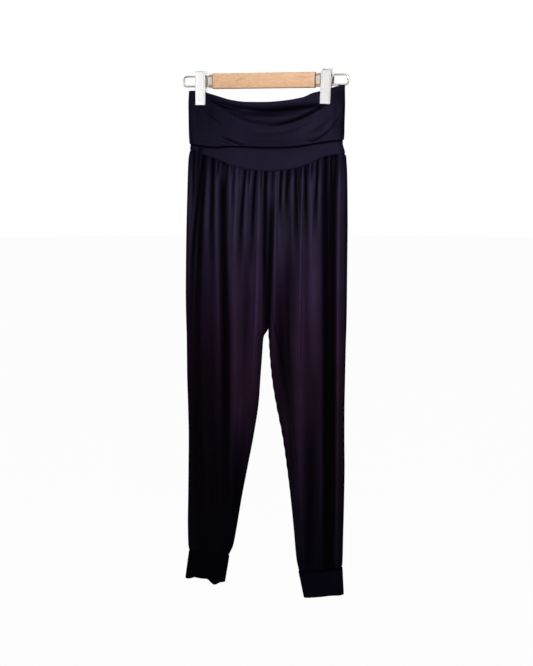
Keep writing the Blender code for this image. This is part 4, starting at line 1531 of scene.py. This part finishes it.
    def light(self, x: Array, z: Array, crest: Array) -> Array:
        """Painted light on the cloth outside its folds: a painted highlight on crests, painted shade along
        the seams and the inseam.

        Args:
            x: places across the legs.
            z: places up the legs.
            crest: how near to a fold's crest each place lies, for the painted highlight.

        Returns:
            The share of painted light.
        """
        shown = FLAT_CLOTH_PAINTED_LIGHT + (1 - FLAT_CLOTH_PAINTED_LIGHT) * crest
        # painted shade along the inseam's groove
        for row in INSEAM if self.has_inseam_in_front else ():
            shown = shown * (1 - np.minimum(-along_line(row, x, z, upright=True) / INSEAM_IS_DARK_AT, 1.0))
        # painted shade along the band's seam
        below = through(BAND, "seam", x) - z
        return shown * (1 - SEAM_SHADE * (1 - smooth(below, *SEAM_SHADOW)))

    def cuff_gathers(self, x: Array, z: Array) -> Array:
        """The small folds just above the cuff's seam.

        Args:
            x: places across the legs.
            z: places up the legs.

        Returns:
            How far they stand out.
        """
        (tall, pitch), (low, wide) = self.cuff_folds
        fine = tall * np.sin(x / pitch + z / self.cuff_folds_lean)
        return smooth(-z, *CUFF_FOLDS_GROW) * (fine + low * np.sin(x / wide + self.cuff_folds_turn))

    def seam_relief(self, grid: Array, flat: Array) -> Array:
        """The tucks at the seams, the inseam's line and the wrinkles beside it.

        Args:
            grid: the panel's points.
            flat: their places in the flat cloth.

        Returns:
            How far each point moves along its normal.
        """
        x, z = grid[:, :, 0], grid[:, :, 2]
        from_outer = flat[:, :, 0]
        from_inner = from_outer[:, -1:] - from_outer
        below = through(BAND, "seam", x) - z
        above = z - self.height(x, np.full_like(x, LEG_BOTTOM))
        out = -SEAM_TUCK.at(below) - CUFF_TUCK.at(above) - SIDE_TUCK.at(from_outer) - SIDE_TUCK.at(from_inner)
        height, pitch = PUCKER
        puckered = (1 - smooth(below, *PUCKER_ENDS)) * smooth(below, *PUCKER_GROWS)
        out = out + height * puckered * np.sin(x / pitch)
        if self.has_inseam_in_front:
            for row in INSEAM:
                out = out + along_line(row, x, z, upright=True)
            height, pitch, slant = WRINKLE
            wrapped = smooth(-z, *WRINKLES_GROW) * (1 - smooth(-z, *WRINKLES_END))
            near = 1 - smooth(from_inner, *WRINKLES_REACH)
            out = out + height * wrapped * near * np.sin((x + slant * z) / pitch)
        return out

    def with_laps(self, grid: Array, flat: Array, normal: Array) -> tuple[Array, Array, Array]:
        """Adds the allowances of the long seams, of which one laps over the other inside.

        The front laps over the back at the side seams and the inseams, and the right half over the
        left at the centre seams.

        Args:
            grid: the panel's points.
            flat: their places in the flat cloth.
            normal: their outward normals.

        Returns:
            The wider grid, its places in the flat cloth and its normals.
        """
        parted = smooth(-grid[:, -1:, 2], -self.crotch[0], -self.crotch[1])
        over = float(self.face is Face.FRONT)
        middle = float(self.side is Side.RIGHT)
        for edge, beside, inside in ((0, 2, 3), (-1, -3, -4)):
            off = grid[:, edge] - grid[:, beside]
            off = off / np.linalg.norm(off, axis=1)[:, None] * over
            inward = -normal[:, inside]
            share = np.full_like(parted, over)
            if edge == -1:
                seam_off = np.array([-self.side.sign, 0.0, 0.0])
                seam_inward = np.array([0.0, -self.face.sign, 0.0])
                off = off * parted + seam_off * middle * (1 - parted)
                inward = inward * parted + seam_inward * (1 - parted)
                share = over * parted + middle * (1 - parted)
            strips = [
                grid[:, edge] + off * a + inward * (b * share + self.turned * (k + 1) * (1 - share))
                for k, (a, b) in enumerate(self.lap)
            ]
            places = [flat[:, edge] + np.array([a if edge else -a, 0.0, 0.0]) for a, _ in self.lap]
            normals = [normal[:, edge]] * len(self.lap)
            widened = []
            for old, new in ((grid, strips), (flat, places), (normal, normals)):
                added = np.stack(new if edge else new[::-1], axis=1)
                widened.append(np.concatenate((old, added) if edge else (added, old), axis=1))
            grid, flat, normal = widened
        return grid, flat, normal

    def with_allowances(self, grid: Array, flat: Array, normal: Array) -> tuple[Array, Array]:
        """Adds the seam allowances, which run on inside the band and inside the cuff.

        Args:
            grid: the panel's points.
            flat: their places in the flat cloth.
            normal: their outward normals.

        Returns:
            The longer grid and its places in the flat cloth.
        """
        tops, lows, flat_tops, flat_lows = [], [], [], []
        for rise, inward in self.allowance:
            step = np.array([0.0, 0.0, rise])
            shift = np.array([0.0, rise, 0.0])
            tops.insert(0, grid[0] - normal[3] * inward + step)
            lows.append(grid[-1] - normal[-4] * inward * self.cuff_allowance_share - step)
            flat_tops.insert(0, flat[0] + shift)
            flat_lows.append(flat[-1] - shift)
        return np.concatenate((tops, grid, lows)), np.concatenate((flat_tops, flat, flat_lows))

    def build(self) -> bpy.types.Object:
        """Builds and dresses the panel.

        Returns:
            The panel.
        """
        grid, flat = self.skin()
        normal = outward(grid, self.face.sign)
        grid = grid + normal * self.seam_relief(grid, flat)[:, :, None]
        grid, flat, normal = self.with_laps(grid, flat, normal)
        grid, flat = self.with_allowances(grid, flat, normal)
        obj = hang_jersey(self.name, grid_mesh(f"{self.name}_cloth", grid, flat), self.wall)
        return obj


@dataclass
class Waistband:
    """Half of the fold-over waistband: up inside, over the top fold and down outside.

    Its flat sizes are in metres and the others in millimetres.
    """

    face: Face
    flat_width: float = 0.325
    flat_length: float = 0.245
    flat_area: float = 0.0725
    columns: int = 260
    fine_columns: int = 521
    inner_rows: int = 72
    inner_crowding: float = 1.4
    fold_rows: int = 8
    outer_rows: int = 52
    wall: float = 0.8
    edge_settles: float = 15.0
    top_settles: float = 5.0
    waver: float = 0.3
    waver_phase: float = 4.1
    middle_z: float = -80.0

    @property
    def name(self) -> str:
        """The node that the band stands for."""
        return f"waistband_{self.face.value}"

    @property
    def swags(self) -> tuple[Line, ...]:
        """The band's swags on this face."""
        return FRONT_SWAGS if self.face is Face.FRONT else BACK_SWAGS

    def height(self, x: Array, layer: Layer, share: float) -> Array:
        """The height of a row: up from the seam inside, or down from the top outside.

        Args:
            x: places along the row.
            layer: the layer; the fold itself stands at the top.
            share: the share of the layer's rows that lies before this one.

        Returns:
            The height at each place.
        """
        top = through(BAND, "top", x)
        start = through(BAND, "seam", x) + CLOTH_GAP
        if layer is Layer.FOLD:
            share = 1.0
        elif layer is Layer.OUTER:
            start = through(BAND, "lower_edge", x)
            share = 1 - share
        return start + (top - start) * share

    def stand_off(self, x: Array, z: Array) -> Array:
        """How far the folded-over layer lies outside the inner one, swags and all.

        Args:
            x: places across the band.
            z: places up the band.

        Returns:
            The distance at each place.
        """
        grip = Form.clipped(x, z)
        low = through(BAND, "lower_edge", x)
        top = through(BAND, "top", x)
        off = FOLD_OFF + (FOLD_OFF_CLIPPED - FOLD_OFF) * grip
        off = off + (FOLD_OFF_EDGE - FOLD_OFF) * (1 - smooth(z - low, 0.0, self.edge_settles)) * (1 - grip)
        loose = (1 - grip) * smooth(top - z, 0.0, self.top_settles)
        swags = self.waver * wander(x, z, self.waver_phase)
        for row in self.swags:
            swags = swags + along_line(row, x, z, upright=False)
        return np.maximum(off + swags * loose, LEAST_FOLD_OFF)

    def painted_shade(self, layer: Layer, x: Array, z: Array) -> Array:
        """The painted shade of the band: deep in a fold, in the turned edge's shadow or away from the light.

        Args:
            layer: the layer.
            x: places across the band.
            z: places up the band.

        Returns:
            The depth of the painted shade at each place, from 0 to 1.
        """
        seen = np.ones(x.shape)
        across = x if self.face is Face.FRONT else BACK_SHIFT - x
        # painted shade patches where the band turns from the light
        for patch in BAND_SHADES if self.face is Face.FRONT else BAND_SHADES[:BACK_SHADES]:
            away = np.hypot((across - patch.x) / patch.half_width, (z - patch.z) / patch.half_height)
            seen = seen * (1 - patch.depth * bump(away))
        if layer is Layer.INNER:
            # painted shade over the yoke's middle and painted shadow under the turned edge
            seen = seen * (1 - YOKE_SHADE * smooth(-z, *YOKE_SHADE_FROM))
            return 1 - seen * smooth(through(BAND, "lower_edge", x) - z, *EDGE_SHADOW)
        # painted shade in the swags' troughs
        for row in self.swags:
            rise = along_line(row, x, z, upright=False)
            seen = seen * (1 - np.clip(-rise / SWAG_IS_DARK_AT, 0.0, DARKEST_TROUGH))
        return 1 - seen

    def fine_row(self, layer: Layer, share: float) -> Array:
        """Runs a row of the band from the right side seam to the left.

        Args:
            layer: the layer.
            share: the share of the layer's rows that lies before this one.

        Returns:
            The row's points.
        """
        ends = []
        for edge in ("right_side", "left_side"):
            end = through(OUTLINE, edge, self.middle_z)
            for _ in range(READINGS):
                end = through(OUTLINE, edge, self.height(end, layer, share))
            ends.append(float(end))
        x = ends[0] + (ends[1] - ends[0]) * eased(self.fine_columns)
        z = self.height(x, layer, share)
        y = self.face.sign * Form.half_depth(x, z)
        flow = np.gradient(np.stack((x, y), axis=1), axis=0)
        out = np.stack((flow[:, 1], -flow[:, 0]), axis=1) * -self.face.sign
        out /= np.linalg.norm(out, axis=1)[:, None]
        rise = np.zeros_like(x)
        if layer is Layer.INNER:
            reach = -BAND_TUCK.at(z - through(BAND, "seam", x))
        else:
            reach = self.stand_off(x, z)
        if layer is Layer.FOLD:
            reach, rise = reach / 2 * (1 - np.cos(np.pi * share)), reach / 2 * np.sin(np.pi * share)
        return np.stack((x + out[:, 0] * reach, y + out[:, 1] * reach, z + rise), axis=1)

    def build(self) -> bpy.types.Object:
        """Builds and dresses the band.

        Returns:
            The band.
        """
        shares = np.linspace(0.0, 1.0, self.inner_rows + 1) ** self.inner_crowding
        layers = [(Layer.INNER, float(share)) for share in shares]
        layers += [(Layer.FOLD, i / self.fold_rows) for i in range(1, self.fold_rows)]
        layers += [(Layer.OUTER, i / self.outer_rows) for i in range(self.outer_rows + 1)]
        fine = [self.fine_row(layer, share) for layer, share in layers]
        grid, across = even_rows(fine, self.columns, EDGE_STEPS)
        lengths = np.cumsum(np.linalg.norm(np.diff(grid, axis=0), axis=2), axis=0)
        down = np.concatenate((np.zeros((1, grid.shape[1])), lengths))
        painted_shade = [self.painted_shade(layer, row[:, 0], row[:, 2]) for (layer, _), row in zip(layers, grid)]
        flat = np.stack((across, down, np.stack(painted_shade)), axis=2)
        obj = hang_jersey(self.name, grid_mesh(f"{self.name}_cloth", grid, flat), self.wall)
        return obj


class EndWave(NamedTuple):
    """A rise of a cuff's open end, or a dip where it is below zero, by shares of the cuff's width."""

    rise: float
    middle: float
    half_width: float


CUFF_WAVES = {
    Side.RIGHT: (EndWave(8.0, 0.40, 0.36), EndWave(-6.5, 0.76, 0.18)),
    Side.LEFT: (EndWave(1.0, 0.30, 0.3),),
}

# How deep each cuff's cloth lies in painted shade below its seam
CUFF_SHADED = {Side.RIGHT: 0.88, Side.LEFT: 0.62}


@dataclass
class Cuff:
    """A doubled jersey cuff, a tube open at the ankle.

    Its flat sizes are in metres and the others in millimetres or shares of its height.
    """

    side: Side
    flat_width: float = 0.180
    flat_length: float = 0.056
    columns: int = 150
    rows: int = 34
    half_depth: float = 8.0
    round_reach: float = 13.0
    wall: float = 1.8
    seam_gap: float = 0.3
    back_follows: float = -0.3
    slack: float = 0.55
    slack_stretch: tuple[float, float] = (2.2, 0.6)
    seam_tuck: float = 1.6
    seam_tuck_ends: float = 0.05
    end_tuck: float = 0.5
    end_tuck_starts: float = 0.95
    painted_light_grows: tuple[float, float] = (0.03, 0.12)

    @property
    def name(self) -> str:
        """The node that the cuff stands for."""
        return f"cuff_{self.side.value}"

    def end_wave(self, share: Array) -> Array:
        """How far the open end rises or falls across the cuff."""
        waves = CUFF_WAVES[self.side]
        return sum(wave.rise * bump((share - wave.middle) / wave.half_width) for wave in waves)

    def build(self) -> bpy.types.Object:
        """Builds and dresses the cuff.

        Returns:
            The cuff.
        """
        shape = CUFFS[self.side]
        top_side = float(through(OUTLINE, self.side.value + "_side", shape.seam_side_z))
        top_inner = float(through(OUTLINE, self.side.value + "_inner", shape.seam_inner_z))
        turn = np.linspace(0, 2 * np.pi, self.columns, endpoint=False)[None, :]
        down = np.linspace(0, 1, self.rows + 1)[:, None]
        share = 0.5 * (1 - np.cos(turn))
        side_x = top_side + (shape.end_side_x - top_side) * down
        inner_x = top_inner + (shape.end_inner_x - top_inner) * down
        side_z = shape.seam_side_z - self.seam_gap + (shape.end_side_z - shape.seam_side_z) * down
        inner_z = shape.seam_inner_z - self.seam_gap + (shape.end_inner_z - shape.seam_inner_z) * down
        width = abs(inner_x - side_x)
        wave = np.where(turn < np.pi, 1.0, self.back_follows) * self.end_wave(share)
        x = side_x + (inner_x - side_x) * share
        z = side_z + (inner_z - side_z) * share + wave * down
        depth = self.half_depth * rounded(np.minimum(share, 1 - share) * width, self.round_reach)
        across, along = self.slack_stretch
        slack = self.slack * wander(x * across, z * along, 1.0 + self.side.sign) * np.sin(np.pi * down)
        tuck = self.seam_tuck * (1 - smooth(down, 0.0, self.seam_tuck_ends))
        tuck = tuck + self.end_tuck * smooth(down, self.end_tuck_starts, 1.0)
        out = np.maximum(depth - tuck + slack * rounded(depth, self.half_depth), 0.0)
        grid = np.stack((x, np.where(turn < np.pi, -out, out), z), axis=2)
        run = np.broadcast_to(turn / (2 * np.pi) * 2 * width, x.shape)
        # painted shade: full at the seam, easing to each cuff's own depth below it
        painted_shade = 1 - (1 - CUFF_SHADED[self.side]) * smooth(down, *self.painted_light_grows)
        flat = np.stack((run, z, np.broadcast_to(painted_shade, x.shape)), axis=2)
        obj = hang_jersey(self.name, grid_mesh(f"{self.name}_cloth", grid, flat, closed=True), self.wall)
        return obj


# ------------------------------------------------------------------ hanger pieces


# The angle from which an edge stays sharp, and the sizes that pieces of the hanger share
SHARP_FROM = math.radians(50)
ROUND_MIDDLE = 0.3  # how far a quarter round's middle lies in from its corner, as a share of its radius
BAR_HALF = 103.0
WIRE_RADIUS = 1.75
SNUG = 0.3  # the gap left between pieces that touch in the real hanger
WIRE_REACH = {Side.RIGHT: 60.5, Side.LEFT: 64.5}
SLEEVE_LENGTH = {Side.RIGHT: 6.5, Side.LEFT: 8.0}
CLIP_CORNERS = {Side.RIGHT: (1.6, 1.6, 3.0, 2.0), Side.LEFT: (1.4, 1.4, 2.0, 4.5)}


def loft(name: str, loops: Sequence[Array]) -> bpy.types.Mesh:
    """A closed skin over loops of points, with flat ends.

    Args:
        name: the mesh's name.
        loops: loops of the same number of points, in millimetres.

    Returns:
        The mesh, smooth apart from its sharp edges.
    """
    bm = bmesh.new()
    rings = [[bm.verts.new(Vector(point) * MM) for point in loop] for loop in loops]
    count = len(rings[0])
    for ring, following in zip(rings, rings[1:]):
        for i in range(count):
            j = (i + 1) % count
            bm.faces.new((ring[i], ring[j], following[j], following[i]))
    bm.faces.new(rings[0])
    bm.faces.new(rings[-1])
    bmesh.ops.recalc_face_normals(bm, faces=bm.faces)
    mesh = bpy.data.meshes.new(name)
    bm.to_mesh(mesh)
    bm.free()
    mesh.shade_smooth()
    mesh.set_sharp_from_angle(angle=SHARP_FROM)
    return mesh


def rounded_rectangle(
    low: tuple[float, float], high: tuple[float, float], radii: Sequence[float], points: int = 7
) -> Array:
    """A rectangle with rounded corners.

    Args:
        low: its lowest corner.
        high: its highest corner.
        radii: the radii at low-low, high-low, high-high and low-high.
        points: how many points each corner has.

    Returns:
        Its outline, two numbers a point.
    """
    corners = (
        (low[0], low[1], 1, 1, 180),
        (high[0], low[1], -1, 1, 270),
        (high[0], high[1], -1, -1, 0),
        (low[0], high[1], 1, -1, 90),
    )
    out = []
    for (x, y, sx, sy, start), radius in zip(corners, radii):
        for degrees in np.linspace(start, start + 90, points):
            turn = math.radians(degrees)
            out.append((x + sx * radius + radius * math.cos(turn), y + sy * radius + radius * math.sin(turn)))
    return np.array(out)


def at_x(x: float, outline: Array) -> Array:
    """A loop of points across the bar: an outline's two numbers a point become their Y and Z."""
    return np.column_stack((np.full(len(outline), x), outline))


@dataclass
class HangerBar:
    """The wood bar: planed, its long edges eased and its ends rounded a little more."""

    height: float = 30.0
    depth: float = 12.0
    easing: float = 2.6
    easing_narrows: float = 0.3
    least_easing: float = 0.6
    end_easing: float = 2.2
    end_rings: int = 7

    def build(self) -> bpy.types.Object:
        """Builds and dresses the bar.

        Returns:
            The bar.
        """
        eased_end = [
            (-BAR_HALF + self.end_easing * (1 - math.cos(turn)), self.end_easing * (1 - math.sin(turn)))
            for turn in np.linspace(0, math.pi / 2, self.end_rings)
        ]
        rings = []
        for x, inset in eased_end + [(-x, inset) for x, inset in reversed(eased_end)]:
            low = (-self.depth / 2 + inset, -self.height + inset)
            high = (self.depth / 2 - inset, -inset)
            radius = max(self.easing - inset * self.easing_narrows, self.least_easing)
            rings.append(at_x(x, rounded_rectangle(low, high, [radius] * 4)))
        obj = link("hanger_bar_wood", loft("hanger_bar_wood", rings), LacqueredBeech().material())
        return seat(obj, "hanger_bar")


@dataclass
class WireLoop:
    """A loop of round steel wire, bent from one length and let into the bar's end."""

    side: Side
    corner: float = 6.0
    corner_points: int = 12
    in_bar: float = 2.0

    def build(self) -> bpy.types.Object:
        """Builds and dresses the loop.

        Returns:
            The loop.
        """
        name = f"wire_loop_{self.side.value}"
        top = WIRES_MIDDLE + WIRES_APART / 2
        bottom = WIRES_MIDDLE - WIRES_APART / 2
        start = BAR_HALF - self.in_bar
        bend_x = BAR_HALF + WIRE_REACH[self.side] - WIRE_RADIUS - self.corner
        route = [(start, top)]
        for bend_z, first in ((top - self.corner, 90.0), (bottom + self.corner, 0.0)):
            for degrees in np.linspace(first, first - 90.0, self.corner_points):
                turn = math.radians(degrees)
                route.append((bend_x + self.corner * math.cos(turn), bend_z + self.corner * math.sin(turn)))
        route.append((start, bottom))
        curve = bpy.data.curves.new(name + "_wire", "CURVE")
        curve.dimensions = "3D"
        curve.bevel_depth = WIRE_RADIUS * MM
        curve.bevel_resolution = 5
        curve.use_fill_caps = True
        spline = curve.splines.new("POLY")
        spline.points.add(len(route) - 1)
        for point, (x, z) in zip(spline.points, route):
            point.co = (self.side.sign * x * MM, 0.0, z * MM, 1.0)
        spline.use_smooth = True
        return seat(link(name + "_wire", curve, STEEL_FINISH), name)


@dataclass
class Sleeve:
    """The ribbed ivory collar round both wires between the bar and the clip."""

    side: Side
    height: float = 27.0
    depth: float = 8.0
    corner: float = 1.6
    ribs: int = 4
    rings_a_rib: int = 8
    rib: float = 0.5
    rib_roundness: float = 0.7
    rib_on_top: float = 0.6
    top_inset: float = 0.4

    def build(self) -> bpy.types.Object:
        """Builds and dresses the collar.

        Returns:
            The collar.
        """
        name = f"sleeve_{self.side.value}"
        near = BAR_HALF + SNUG
        rings = []
        for u in np.linspace(0, 1, self.ribs * self.rings_a_rib + 1):
            swell = self.rib * abs(math.sin(math.pi * self.ribs * u)) ** self.rib_roundness
            half_depth = self.depth / 2 + swell
            half_height = self.height / 2 - self.top_inset + swell * self.rib_on_top
            low = (-half_depth, WIRES_MIDDLE - half_height)
            high = (half_depth, WIRES_MIDDLE + half_height)
            x = self.side.sign * (near + SLEEVE_LENGTH[self.side] * u)
            rings.append(at_x(x, rounded_rectangle(low, high, [self.corner] * 4)))
        obj = link(name + "_collar", loft(name + "_collar", rings), IVORY_PLASTIC.material())
        return seat(obj, name)


@dataclass
class Clip:
    """A two-jawed plastic clip on the wires, pressed shut by a steel plate beside it.

    A jaw's rim has rounded edges outside and a small lip, foot and dish towards the plate inside it.
    """

    side: Side
    width: float = 20.0
    top: float = 6.0
    bottom: float = -61.0
    inside: float = 3.8
    plate: float = 2.2
    rim: float = 1.6
    rim_width: float = 2.6
    edge: float = 0.7
    back_edge_share: float = 0.6
    lip: float = 0.4
    foot: float = 0.6
    dish: float = 3.0
    dish_rise: float = 0.15
    least_corner: float = 0.35
    saddle: tuple[float, float] = (-28.0, -1.5)
    saddle_width: float = 16.0
    saddle_sinks: float = 0.8
    spring_off: float = 0.5
    spring_bow: float = 3.6
    spring_half_depth: float = 5.4
    spring_z: tuple[float, float] = (-8.2, -21.8)
    spring_wall: float = 0.8
    spring_grid: tuple[int, int] = (25, 7)

    def lean(self, obj: bpy.types.Object) -> None:
        """Turns a piece of the clip about the middle of its wires.

        Args:
            obj: the piece.
        """
        angle = math.radians(CLIP_LEAN[self.side])
        pivot = np.array([CLIP_X[self.side], 0.0, WIRES_MIDDLE]) * MM
        turn = np.array(
            [[math.cos(angle), 0, math.sin(angle)], [0, 1, 0], [-math.sin(angle), 0, math.cos(angle)]]
        )
        for vert in obj.data.vertices:
            vert.co = pivot + turn @ (np.array(vert.co) - pivot)

    def ring(self, face: Face, inset: float, y: float) -> Array:
        """A loop of a jaw.

        Args:
            face: front or back.
            inset: its distance in from the jaw's edge.
            y: its distance from the middle plane.

        Returns:
            The loop's points.
        """
        middle = CLIP_X[self.side]
        flat = rounded_rectangle(
            (middle - self.width / 2 + inset, self.bottom + inset),
            (middle + self.width / 2 - inset, self.top - inset),
            [max(radius - inset, self.least_corner) for radius in CLIP_CORNERS[self.side]],
        )
        return np.column_stack((flat[:, 0], np.full(len(flat), face.sign * y), flat[:, 1]))

    def jaw(self, face: Face) -> bpy.types.Object:
        """One jaw: a plate with a raised border outside and a saddle for the wires inside.

        Args:
            face: front or back.

        Returns:
            The jaw.
        """
        outside = self.inside + self.plate + self.rim
        floor = outside - self.rim
        back_edge = self.edge * self.back_edge_share
        profile = (
            (back_edge, self.inside),
            (0.0, self.inside + back_edge),
            (0.0, outside - self.edge),
            (self.edge * ROUND_MIDDLE, outside - self.edge * ROUND_MIDDLE),
            (self.edge, outside),
            (self.rim_width - self.lip, outside),
            (self.rim_width, outside - self.lip),
            (self.rim_width + self.foot / 4, floor + self.foot / 2),
            (self.rim_width + self.foot, floor),
            (self.rim_width + self.dish, floor + self.dish_rise),
        )
        name = f"clip_{self.side.value}_{face.value}"
        mesh = loft(name + "_jaw", [self.ring(face, inset, y) for inset, y in profile])
        bm = bmesh.new()
        bm.from_mesh(mesh)
        half = self.saddle_width / 2
        inner, outer = WIRE_RADIUS + SNUG, self.inside + self.saddle_sinks
        for vert in bmesh.ops.create_cube(bm, size=1.0)["verts"]:
            vert.co = (
                (CLIP_X[self.side] + (-half if vert.co.x < 0 else half)) * MM,
                face.sign * (inner if vert.co.y * face.sign < 0 else outer) * MM,
                self.saddle[0 if vert.co.z < 0 else 1] * MM,
            )
        bm.to_mesh(mesh)
        bm.free()
        mesh.set_sharp_from_angle(angle=SHARP_FROM)
        obj = link(mesh.name, mesh, WHITE_FINISH[self.side])
        self.lean(obj)
        return seat(obj, name)

    def spring(self) -> bpy.types.Object:
        """The bent steel plate that presses the jaws together.

        Returns:
            The plate.
        """
        name = f"clip_{self.side.value}_spring"
        start = CLIP_X[self.side] + self.width / 2 + SNUG + self.spring_off
        across, down = self.spring_grid
        rows = []
        for u in np.linspace(-1, 1, across):
            x = start + self.spring_bow * (1 - u * u)
            rows.append([(x, u * self.spring_half_depth, z) for z in np.linspace(*self.spring_z, down)])
        grid = np.array(rows)
        obj = link(name + "_plate", grid_mesh(name + "_plate", grid, grid[:, :, 1:]), STEEL_FINISH)
        thicken(obj, self.spring_wall)
        self.lean(obj)
        return seat(obj, name)

    def build(self) -> list[bpy.types.Object]:
        """Builds and dresses the clip."""
        return [self.jaw(Face.FRONT), self.jaw(Face.BACK), self.spring()]


# ------------------------------------------------------------------ the studio


class Lamp(NamedTuple):
    """A square soft light: where it stands and aims, its side, its watts and how wide it opens."""

    name: str
    place: tuple[float, float, float]
    aim: tuple[float, float, float]
    size: float
    power: float
    degrees: float


LAMPS = (
    Lamp("key_light", (0.50, -1.75, 0.50), (0.08, 0.0, -0.22), 0.4, 5.2, 70.0),
    Lamp("fill_light", (-1.2, -2.2, 0.7), (0.0, 0.0, -0.05), 0.8, 1.0, 60.0),
    Lamp("back_light", (-0.9, 2.1, 0.7), (0.0, 0.0, -0.25), 1.0, 9.0, 90.0),
    Lamp("top_light", (0.2, -0.5, 1.6), (0.0, 0.0, -0.1), 0.8, 0.8, 70.0),
)
WHITE = (1.0, 1.0, 1.0, 1.0)


@dataclass
class Studio:
    """A pale floor, soft light and a camera at the photograph's angle.

    Places and the floor's radius are in metres, angles in degrees and the sensor in millimetres.
    """

    floor_z: float = -1.32
    floor_radius: float = 14.0
    floor_grey: float = 0.8
    floor_roughness: float = 0.9
    floor_lights_up: float = 0.25
    floor_shading: float = 0.03
    surround: tuple[float, float, float, float] = (0.95, 0.96, 1.0, 1.0)
    surround_strength: float = 0.07
    eye: tuple[float, float, float] = (0.579, -2.301, -0.144)
    yaw: float = 14.0
    pitch: float = 8.77
    focal_px: float = 1200.0
    long_side_px: float = 666.0
    sensor: float = 36.0

    def camera(self) -> None:
        """The camera, from its place, angles and focal length."""
        data = bpy.data.cameras.new("camera")
        data.sensor_width = self.sensor
        data.lens = self.focal_px * self.sensor / self.long_side_px
        camera = bpy.data.objects.new("camera", data)
        camera.location = self.eye
        camera.rotation_euler = (math.radians(90 - self.pitch), 0.0, math.radians(self.yaw))
        bpy.context.scene.collection.objects.link(camera)
        bpy.context.scene.camera = camera

    def floor(self) -> None:
        """The floor, white to the eye and dim enough not to light the dark cloth from below."""
        bpy.ops.mesh.primitive_circle_add(
            vertices=96, radius=self.floor_radius, fill_type="NGON", location=(0, 0, self.floor_z)
        )
        floor = bpy.context.object
        floor.name = "studio_floor"
        made, tree, shader = new_material("studio_floor")
        grey, dark = self.floor_grey, self.floor_lights_up
        feed(
            shader,
            {
                "Base Color": (grey, grey, grey, 1.0),
                "Roughness": self.floor_roughness,
                "Specular IOR Level": 0.0,
            },
        )
        bright = add_node(tree, "Emission", {"Color": WHITE, "Strength": 1.0})
        both = add_node(tree, "MixShader", {0: self.floor_shading, 1: bright, 2: shader})
        dim = add_node(tree, "BsdfDiffuse", {"Color": (dark, dark, dark, 1.0)})
        seen = add_node(tree, "LightPath").outputs["Is Camera Ray"]
        whole = add_node(tree, "MixShader", {0: seen, 1: dim, 2: both})
        feed(tree.nodes["Material Output"], {"Surface": whole})
        floor.data.materials.append(made)

    def world(self) -> None:
        """White behind the object, and a dim, even surround for its light."""
        world = bpy.data.worlds.new("studio_world")
        bpy.context.scene.world = world
        world.use_nodes = True
        tree = world.node_tree
        white = add_node(tree, "Background", {"Color": WHITE, "Strength": 1.0})
        dim = add_node(tree, "Background", {"Color": self.surround, "Strength": self.surround_strength})
        seen = add_node(tree, "LightPath").outputs["Is Camera Ray"]
        whole = add_node(tree, "MixShader", {0: seen, 1: dim, 2: white})
        feed(tree.nodes["World Output"], {"Surface": whole})

    def light(self, lamp: Lamp) -> None:
        """Sets up a lamp, unseen by the camera.

        Args:
            lamp: the lamp.
        """
        data = bpy.data.lights.new(lamp.name, "AREA")
        data.size = lamp.size
        data.energy = lamp.power
        data.spread = math.radians(lamp.degrees)
        obj = bpy.data.objects.new(lamp.name, data)
        obj.visible_camera = False
        obj.location = lamp.place
        obj.rotation_euler = (Vector(lamp.aim) - Vector(lamp.place)).to_track_quat("-Z", "Y").to_euler()
        bpy.context.scene.collection.objects.link(obj)

    def build(self) -> None:
        """Sets up the camera, the floor and the light."""
        self.camera()
        self.floor()
        self.world()
        for lamp in LAMPS:
            self.light(lamp)
        settings = bpy.context.scene.view_settings
        settings.view_transform = "Standard"
        settings.look = "None"


JERSEY_FINISH = ViscoseJersey().material()
STEEL_FINISH = DrawnSteel().material()
WHITE_FINISH = {side: plastic.material() for side, plastic in WHITE_PLASTIC.items()}


def main() -> None:
    """Builds the studio, the hanger and the garment in order, and reports each piece."""
    logging.basicConfig(level=logging.INFO, format="%(message)s")
    Studio().build()
    makers: list[Any] = [HangerBar()]
    for side in Side:
        makers += [WireLoop(side), Sleeve(side), Clip(side)]
    makers += [LegPanel(face, side) for face in Face for side in Side]
    makers += [Waistband(face) for face in Face]
    makers += [Cuff(side) for side in Side]
    for maker in makers:
        made = maker.build()
        for obj in made if isinstance(made, list) else [made]:
            LOG.info("built %s", obj.name)


if __name__ == "__main__":
    main()
